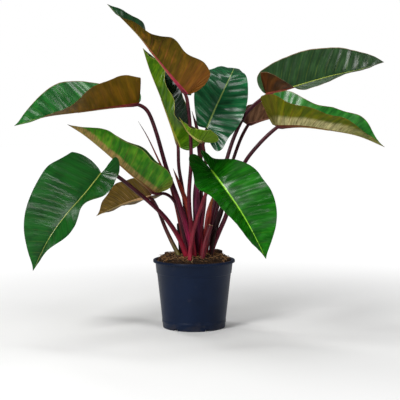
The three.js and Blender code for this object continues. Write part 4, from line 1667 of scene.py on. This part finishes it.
LEAVES = [
    Leaf(
        name="left_high",
        rib=[(-158, -40, 657), (-240, -60, 645), (-327, -100, 631), (-414, -150, 618), (-492, -205, 594)],
        face=[(0, 0.15, 1), (0, 0.05, 1), (-0.1, -0.2, 1), (-0.1, -0.6, 0.85), (-0.1, -0.6, 0.8)],
        fold=((32, 46, 42, 32, 30), (35, 40, 52, 45, 40)),
        wide=((1, 1.05, 1.05, 1.05, 1.05), (1.05, 1.05, 1.26, 1.26, 1.26)),
        lobe=(0.03, 0.3),
        wave=(0.012, 0.006),
        stem=[(2, -36, 182), (-6, -34, 231), (-20, -34, 289), (-46, -32, 376), (-78, -32, 464),
              (-109, -36, 573), (-132, -38, 631)],
        radii=(10, 5.5),
        skin=BRONZE,
        stalk_skin=MAGENTA_FOOT,
        seed=0.3,
    ),
    Leaf(
        name="top",
        rib=[(-20, -70, 682), (-72, -80, 741), (-118, -100, 797), (-158, -130, 848), (-237, -180, 927)],
        face=[(0.54, 0.64, 0.54), (0.54, 0.64, 0.54), (0.6, 0.4, 0.6), (0.7, -0.2, 0.7), (0.5, -0.7, 0.5)],
        fold=((57, 58, 56, 48, 45), (50, 46, 38, 38, 42)),
        wide=((0.95, 0.82, 0.78, 0.4, 0.2), (1, 1, 1, 0.95, 1)),
        lobe=(0.3, 0.3),
        wave=(0.02, 0.012),
        stem=[(8, -62, 182), (0, -62, 228), (-9, -64, 307), (-14, -66, 394), (-8, -68, 494),
              (-11, -70, 594), (-17, -72, 651)],
        radii=(8, 5),
        skin=DARK_BRONZE,
        stalk_skin=CRIMSON,
        seed=1.1,
    ),
    Leaf(
        name="upright",
        rib=[(-41, 0, 529), (-71, 5, 607), (-99, 12, 680), (-129, 25, 753), (-150, 40, 818)],
        face=[(0.91, -0.19, 0.34)],
        fold=((75, 28, 36, 50, 55), (30, 35, 48, 52, 50)),
        wide=((0.9, 0.9, 1, 1.6, 1.5), (0.8, 0.85, 1.1, 1.5, 1.7)),
        lobe=(0.4, 0.4),
        wave=(0.02, 0.012),
        stem=[(-10, 6, 182), (-10, 2, 227), (-21, 0, 300), (-32, 2, 397), (-44, 2, 468)],
        radii=(7, 5),
        skin=LIME_EDGE,
        stalk_skin=MAROON,
        seed=2.2,
    ),
    Leaf(
        name="back",
        rib=[(38, 60, 583), (62, 72, 639), (89, 95, 696), (111, 140, 741), (122, 200, 764),
             (120, 260, 754)],
        face=[(0.1, -0.9, 0.35), (0.1, -0.9, 0.35), (0.1, -0.85, 0.45), (0.1, -0.5, 0.8), (0, -0.1, 1)],
        fold=((15, 15, 8, -3, -5), (15, 15, 8, -3, -5)),
        wide=((0.4, 0.88, 1.1, 1.05, 1), (0.9, 0.97, 0.92, 0.72, 0.7)),
        lobe=(0.1, 1),
        stem=[(6, 26, 182), (6, 26, 230), (3, 26, 313), (3, 28, 401), (20, 44, 504)],
        radii=(7, 5),
        skin=BLUE_GREEN,
        stalk_skin=MAROON,
        outline=(
            (-0.032, 0.01), (-0.08, 0.05), (-0.14, 0.12), (-0.17, 0.19), (-0.13, 0.235), (-0.02, 0.25),
            (0.12, 0.285), (0.3, 0.275), (0.5, 0.22), *TAPER,
        ),
        seed=3.4,
    ),
    Leaf(
        name="right_high",
        rib=[(213, 70, 684), (290, 65, 704), (401, 62, 736), (483, 75, 754), (568, 110, 779)],
        face=[(-0.2, -0.55, 0.8)],
        fold=((23, 23, 23, 23, 23), (103, 20, 27, 32, 32)),
        wide=((0.85, 1, 1, 1, 1), (0.72, 0.88, 0.82, 0.6, 0.3)),
        lobe=(0.3, 0.05),
        wave=(0.004, 0.008),
        stem=[(28, -6, 182), (32, -2, 227), (44, 6, 285), (62, 22, 372), (94, 42, 483), (121, 52, 563),
              (157, 60, 630)],
        radii=(8, 5.5),
        skin=GREY_GREEN,
        stalk_skin=MAROON,
        outline=(
            (-0.032, 0.01), (-0.09, 0.045), (-0.145, 0.12), (-0.13, 0.2), (-0.03, 0.25), (0.12, 0.29),
            (0.3, 0.3), (0.5, 0.285), (0.7, 0.245), (0.86, 0.17), (0.95, 0.09), (1, 0),
        ),
        seed=4.6,
    ),
    Leaf(
        name="right_low",
        rib=[(235, -60, 591), (311, -75, 591), (386, -90, 580), (464, -105, 564), (538, -120, 533)],
        face=[(0, -0.13, 0.99)],
        fold=((60, 72, 62, 68, 50), (78, 58, 55, 50, 40)),
        wide=((1.1, 1.1, 0.9, 0.72, 0.98, 1.15, 1.3, 1.2, 1.1), (1, 0.74, 0.88, 0.95, 1)),
        lobe=(0.4, 1),
        stem=[(42, -20, 182), (52, -18, 229), (73, -18, 282), (93, -20, 329), (116, -28, 402),
              (144, -42, 481), (187, -54, 539)],
        radii=(8, 5.5),
        skin=OLIVE,
        stalk_skin=MAROON,
        outline=(
            (-0.032, 0.01), (-0.06, 0.07), (-0.09, 0.15), (-0.125, 0.24), (-0.12, 0.285), (-0.04, 0.3),
            (0.12, 0.295), (0.3, 0.275), (0.5, 0.22), *TAPER,
        ),
        seed=5.9,
    ),
    Leaf(
        name="left_front",
        rib=[(-260, -140, 461), (-299, -175, 410), (-353, -200, 348), (-400, -220, 281), (-442, -225, 196)],
        face=[(-0.42, -0.84, 0.33)],
        fold=((20, 18, 50, 25, 15, 40, 40), (32, 32, 32)),
        wide=((0.78, 1, 1, 1, 1), (1.05, 1.32, 1.5, 1.7, 1.9)),
        lobe=(0.85, 0.28),
        wave=(0.008, 0.004),
        stem=[(-14, -58, 182), (-23, -62, 220), (-40, -64, 263), (-66, -70, 307), (-97, -80, 346),
              (-153, -104, 399), (-221, -134, 455)],
        radii=(8, 5.5),
        skin=DEEP_GREEN,
        stalk_skin=CRIMSON,
        lift=(0.1, 0),
        quilt=0.5,
        cockle=0.8,
        seed=7.3,
    ),
    Leaf(
        name="left_middle",
        rib=[(-113, -35, 400), (-172, -52, 446), (-217, -72, 486), (-263, -94, 528), (-309, -118, 567),
             (-353, -140, 597)],
        face=[(0.65, -0.1, 0.75)],
        fold=((50, 54, 58, 60, 60), (44, 44, 48, 44, 44)),
        wide=((1.05, 1.1, 1.2, 1.45, 1.6), (0.95, 1.05, 1.05, 0.85, 0.8)),
        lobe=(0.35, 0.3),
        stem=[(-18, -28, 182), (-22, -18, 240), (-32, -12, 290), (-45, -10, 345), (-62, -16, 378),
              (-84, -26, 394)],
        radii=(8, 4.5),
        skin=LIME,
        stalk_skin=MAROON,
        seed=8.2,
    ),
    Leaf(
        name="left_back",
        rib=[(-132, 70, 380), (-178, 100, 366), (-232, 135, 345), (-303, 180, 310)],
        face=[(0, 0, 1)],
        fold=((60, 64, 62, 45, 45), (-2, -4, -4, 0, 0)),
        wide=((1, 1.15, 1.3, 1.25, 1.1), (0.95, 0.95)),
        lobe=(0.8, 0.5),
        stem=[(-32, -62, 182), (-42, -52, 213), (-64, -34, 254), (-85, -12, 296), (-103, 18, 337),
              (-119, 50, 364)],
        radii=(7.5, 5),
        skin=BROWN_BACK,
        stalk_skin=OLIVE_FOOT,
        seed=9.1,
    ),
    Leaf(
        name="front",
        rib=[(51, -140, 467), (90, -170, 415), (131, -200, 356), (166, -220, 295), (199, -225, 229)],
        face=[(0.35, -0.9, 0.26)],
        fold=((95, 45, 25, 25, 25, 22, 25, 25, 25), (32, 28, 40, 38, 38, 40, 40)),
        wide=((0.72, 0.93, 1.26, 1.28, 1.57, 1.78, 1.86, 2.1, 2.5), (1.05, 1.3, 1.2, 1.2, 1.2)),
        lobe=(1.2, 1.3),
        stem=[(-12, -84, 182), (-11, -84, 211), (-8, -84, 251), (3, -88, 306), (26, -106, 377),
              (46, -130, 435)],
        radii=(7.5, 5),
        skin=VIVID,
        stalk_skin=PINK,
        outline=(
            (-0.032, 0.004), (-0.09, 0.01), (-0.15, 0.035), (-0.17, 0.11), (-0.13, 0.19), (-0.03, 0.26),
            (0.12, 0.295), (0.3, 0.275), (0.5, 0.22), *TAPER,
        ),
        seed=10.7,
    ),
    Leaf(
        name="small",
        rib=[(26, -110, 547), (6, -130, 556), (-19, -155, 579), (-40, -180, 618)],
        face=[(0.3, 0.6, 0.7)],
        fold=((30, 30), (50, 50)),
        wide=((1.25, 1.2, 0.8, 0.5, 0.5), (1, 1)),
        lobe=(2.2, 0.5),
        stem=[(18, -46, 182), (19, -48, 221), (23, -54, 297), (32, -66, 379), (35, -88, 467)],
        radii=(6, 4),
        skin=YOUNG,
        stalk_skin=CRIMSON,
        quilt=0.35,
        cockle=0.8,
        seed=11.8,
    ),
    Leaf(
        name="right_back",
        rib=[(159, 120, 594), (231, 160, 612), (310, 200, 627), (384, 240, 629)],
        face=[(0, 0.3, 0.9)],
        fold=((45, 55, 66, 66, 60), (50, 48, 38, 38, 38)),
        wide=((0.6, 0.9, 1, 1, 1), (0.85, 0.85, 0.9, 0.9, 0.9)),
        lobe=(0.1, 0.4),
        stem=[(30, 30, 182), (38, 34, 235), (53, 42, 293), (71, 52, 355), (95, 68, 428), (116, 84, 487),
              (138, 104, 546)],
        radii=(7.5, 5),
        skin=BROWN_GREY,
        stalk_skin=MAROON,
        seed=12.9,
    ),
]

SHEATHS = [
    Sheath(
        name="sheath_needle",
        route=[(-26, 0, 182), (-29, 2, 226), (-47, 8, 329), (-70, 6, 418), (-93, 0, 468), (-134, 4, 555),
               (-163, 8, 604)],
        radii=(6, 5, 4.5, 3.5, 2, 0.8),
        flat=0.6,
        skin=StalkSkin(shades(
            (0.0, 150, 30, 60), (0.5, 190, 56, 50), (0.75, 196, 70, 52), (1.0, 70, 52, 50),
        )),
    ),
    Sheath(
        name="sheath_orange",
        route=[(-2, -16, 182), (-4, -20, 240), (-9, -24, 303), (-20, -22, 361), (-38, -20, 410),
               (-61, -16, 468)],
        radii=(7, 7.5, 8, 8, 6, 1),
        flat=0.5,
        skin=StalkSkin(shades(
            (0.0, 160, 30, 40), (0.4, 196, 50, 24), (0.75, 200, 62, 24), (1.0, 150, 40, 40),
        )),
    ),
    Sheath(
        name="sheath_magenta",
        route=[(6, 4, 182), (10, 0, 225), (12, -4, 301), (9, -6, 360), (9, -6, 410), (12, -6, 462)],
        radii=(8, 9, 10, 10, 7, 1.5),
        flat=0.6,
        skin=StalkSkin(shades(
            (0.0, 160, 40, 80), (0.5, 150, 40, 90), (0.85, 130, 34, 80), (1.0, 90, 30, 50),
        )),
    ),
    Sheath(
        name="sheath_red",
        route=[(32, -36, 182), (34, -32, 222), (37, -27, 288), (45, -20, 346), (55, -16, 387)],
        radii=(6, 7, 8.5, 8.5, 2),
        flat=0.5,
        skin=StalkSkin(shades(
            (0.0, 150, 30, 50), (0.5, 190, 44, 36), (0.8, 200, 56, 34), (1.0, 170, 120, 40),
        )),
    ),
    Sheath(
        name="sheath_withered",
        route=[(46, 2, 182), (50, -3, 232), (60, -8, 285), (80, -7, 345), (93, -8, 388)],
        radii=(5, 6, 8, 8, 2),
        flat=0.5,
        skin=StalkSkin(
            shades((0.0, 90, 30, 40), (0.5, 70, 24, 36), (0.8, 60, 24, 30), (1.0, 48, 30, 24)),
            streak=paint(120, 60, 50),
            gloss=0.5,
        ),
    ),
    Sheath(
        name="sheath_maroon",
        route=[(22, 14, 182), (24, 16, 230), (22, 8, 344), (20, 0, 462), (12, -8, 564), (-6, -12, 634)],
        radii=(6, 6, 5, 6, 8, 1),
        flat=0.5,
        skin=StalkSkin(shades(
            (0.0, 120, 30, 50), (0.5, 96, 26, 46), (0.85, 92, 22, 44), (1.0, 80, 24, 36),
        )),
    ),
    Sheath(
        name="stub_cut",
        route=[(22, -74, 182), (28, -70, 235), (38, -66, 275), (49, -64, 307)],
        radii=(8, 8, 7.5, 7),
        flat=0.9,
        skin=StalkSkin(
            shades((0.0, 150, 40, 60), (0.5, 160, 40, 60), (1.0, 130, 50, 60)),
            cut=paint(206, 176, 136),
        ),
        top=Top.CUT,
    ),
    Sheath(
        name="stub_old",
        route=[(-36, -22, 182), (-40, -26, 245), (-48, -30, 308)],
        radii=(7, 6, 2.5),
        flat=0.7,
        skin=WITHERED,
        top=Top.WITHERED,
    ),
    Sheath(
        name="stub_dark",
        route=[(46, -42, 182), (52, -42, 232), (58, -44, 266), (66, -44, 298)],
        radii=(5, 5, 4.5, 1.5),
        flat=0.6,
        skin=WITHERED,
        top=Top.WITHERED,
    ),
]


@dataclass(frozen=True)
class Lamp:
    """A soft rectangular light, in metres and watts."""

    name: str
    place: Point
    size: tuple[float, float]
    power: float
    aim: Point = (0.0, 0.0, 0.5)

    def hang(self) -> None:
        """Add the light to the scene."""
        lamp = bpy.data.lights.new(self.name, "AREA")
        lamp.shape = "RECTANGLE"
        lamp.size, lamp.size_y = self.size
        lamp.energy = self.power
        holder = bpy.data.objects.new(self.name, lamp)
        holder.location = self.place
        way = Vector(self.aim) - Vector(self.place)
        holder.rotation_euler = way.to_track_quat("-Z", "Y").to_euler()
        bpy.context.scene.collection.objects.link(holder)


@dataclass
class Studio:
    """The pale floor, the soft light and the camera."""

    floor_size: float = 30.0
    floor_fade: tuple[float, float] = (0.3, 1.7)
    reflected: float = 0.18
    camera_place: Point = (0.0175, -3.5, 0.65)
    camera_pitch: float = 4.51
    lens: float = 108.0
    lamps: Sequence[Lamp] = (
        Lamp("key", (-1.7, -2.4, 2.0), (1.0, 1.0), 80.0),
        Lamp("fill", (2.6, -1.8, 1.2), (1.2, 1.2), 22.0),
        Lamp("top left", (-0.7, 0.5, 2.4), (0.3, 1.6), 16.0),
        Lamp("top right", (0.5, 0.5, 2.5), (0.2, 1.4), 7.0),
        Lamp("top front", (1.08, -0.5, 2.25), (0.9, 0.16), 5.0),
        Lamp("low left", (-0.9, -2.5, 0.98), (0.3, 0.12), 2.4, (-0.4, 0.0, 0.3)),
        Lamp("low middle", (0.06, -2.4, 1.15), (0.26, 0.1), 1.4, (0.2, 0.0, 0.35)),
        Lamp("back", (-1.6, 2.2, 1.6), (0.5, 1.6), 18.0),
        Lamp("strip", (-1.7, -2.4, 0.35), (0.24, 0.7), 9.0, (0.0, 0.0, 0.15)),
    )

    def seen(self, bench: Bench) -> Value:
        """How strongly the pale surroundings glow: fully where they are seen, weakly as light."""
        ray = bench.node("ShaderNodeLightPath", output="Is Camera Ray")
        return ray * (1.0 - self.reflected) + self.reflected

    def floor(self) -> None:
        """Lay the pale floor."""
        half = self.floor_size / 2 / MM
        corners = np.array([(-half, -half, 0), (half, -half, 0), (half, half, 0), (-half, half, 0)])
        plane = placed("studio_floor", mesh_of("studio_floor", corners, [[0, 1, 2, 3]]))
        shader = Shader("pale floor")
        place = shader.place()
        colour = shader.blend(shader.noise(place, 3.0, 2.0), paint(236, 236, 235), paint(240, 240, 239))
        far = shader.step(shader.vector("LENGTH", place, output=1), *self.floor_fade)
        glow = shader.blend(far * self.seen(shader), BLACK, WHITE)
        colour = shader.blend(far, colour, BLACK)
        plane.data.materials.append(
            shader.close(Base_Color=colour, Roughness=0.9, Emission_Color=glow, Emission_Strength=1.0)
        )

    def camera(self) -> None:
        """Set up the camera."""
        lens = bpy.data.cameras.new("camera")
        lens.lens = self.lens
        lens.sensor_width = 36.0
        holder = bpy.data.objects.new("camera", lens)
        holder.location = self.camera_place
        holder.rotation_euler = (math.radians(90 - self.camera_pitch), 0, 0)
        bpy.context.scene.collection.objects.link(holder)
        bpy.context.scene.camera = holder

    def backdrop(self) -> None:
        """Surround the plant with plain white that darkens a little overhead."""
        world = bpy.data.worlds.new("studio")
        world.use_nodes = True
        world.node_tree.nodes.clear()
        bench = Bench(world.node_tree)
        way = bench.node("ShaderNodeTexCoord", output="Generated")
        height = bench.node("ShaderNodeSeparateXYZ", inputs={0: way}).other("Z")
        glow = (1.0 - bench.step(height, 0.12, 0.6) * 0.4) * self.seen(bench)
        white = bench.node("ShaderNodeBackground", inputs={0: WHITE, 1: glow})
        bench.node("ShaderNodeOutputWorld", inputs={0: white}, output=None)
        bpy.context.scene.world = world
        bpy.context.scene.view_settings.view_transform = "Standard"

    def build(self) -> None:
        """Set up the studio."""
        self.floor()
        self.camera()
        for lamp in self.lamps:
            lamp.hang()
        self.backdrop()


def main() -> None:
    """Build the studio and every piece."""
    logging.basicConfig(level=logging.INFO, format="%(name)s %(message)s")
    Studio().build()
    recipes = Recipes()
    Pot().build()
    Soil().build(recipes)
    for leaf in LEAVES:
        leaf.build(recipes)
    for sheath in SHEATHS:
        sheath.build(recipes)


if __name__ == "__main__":
    main()
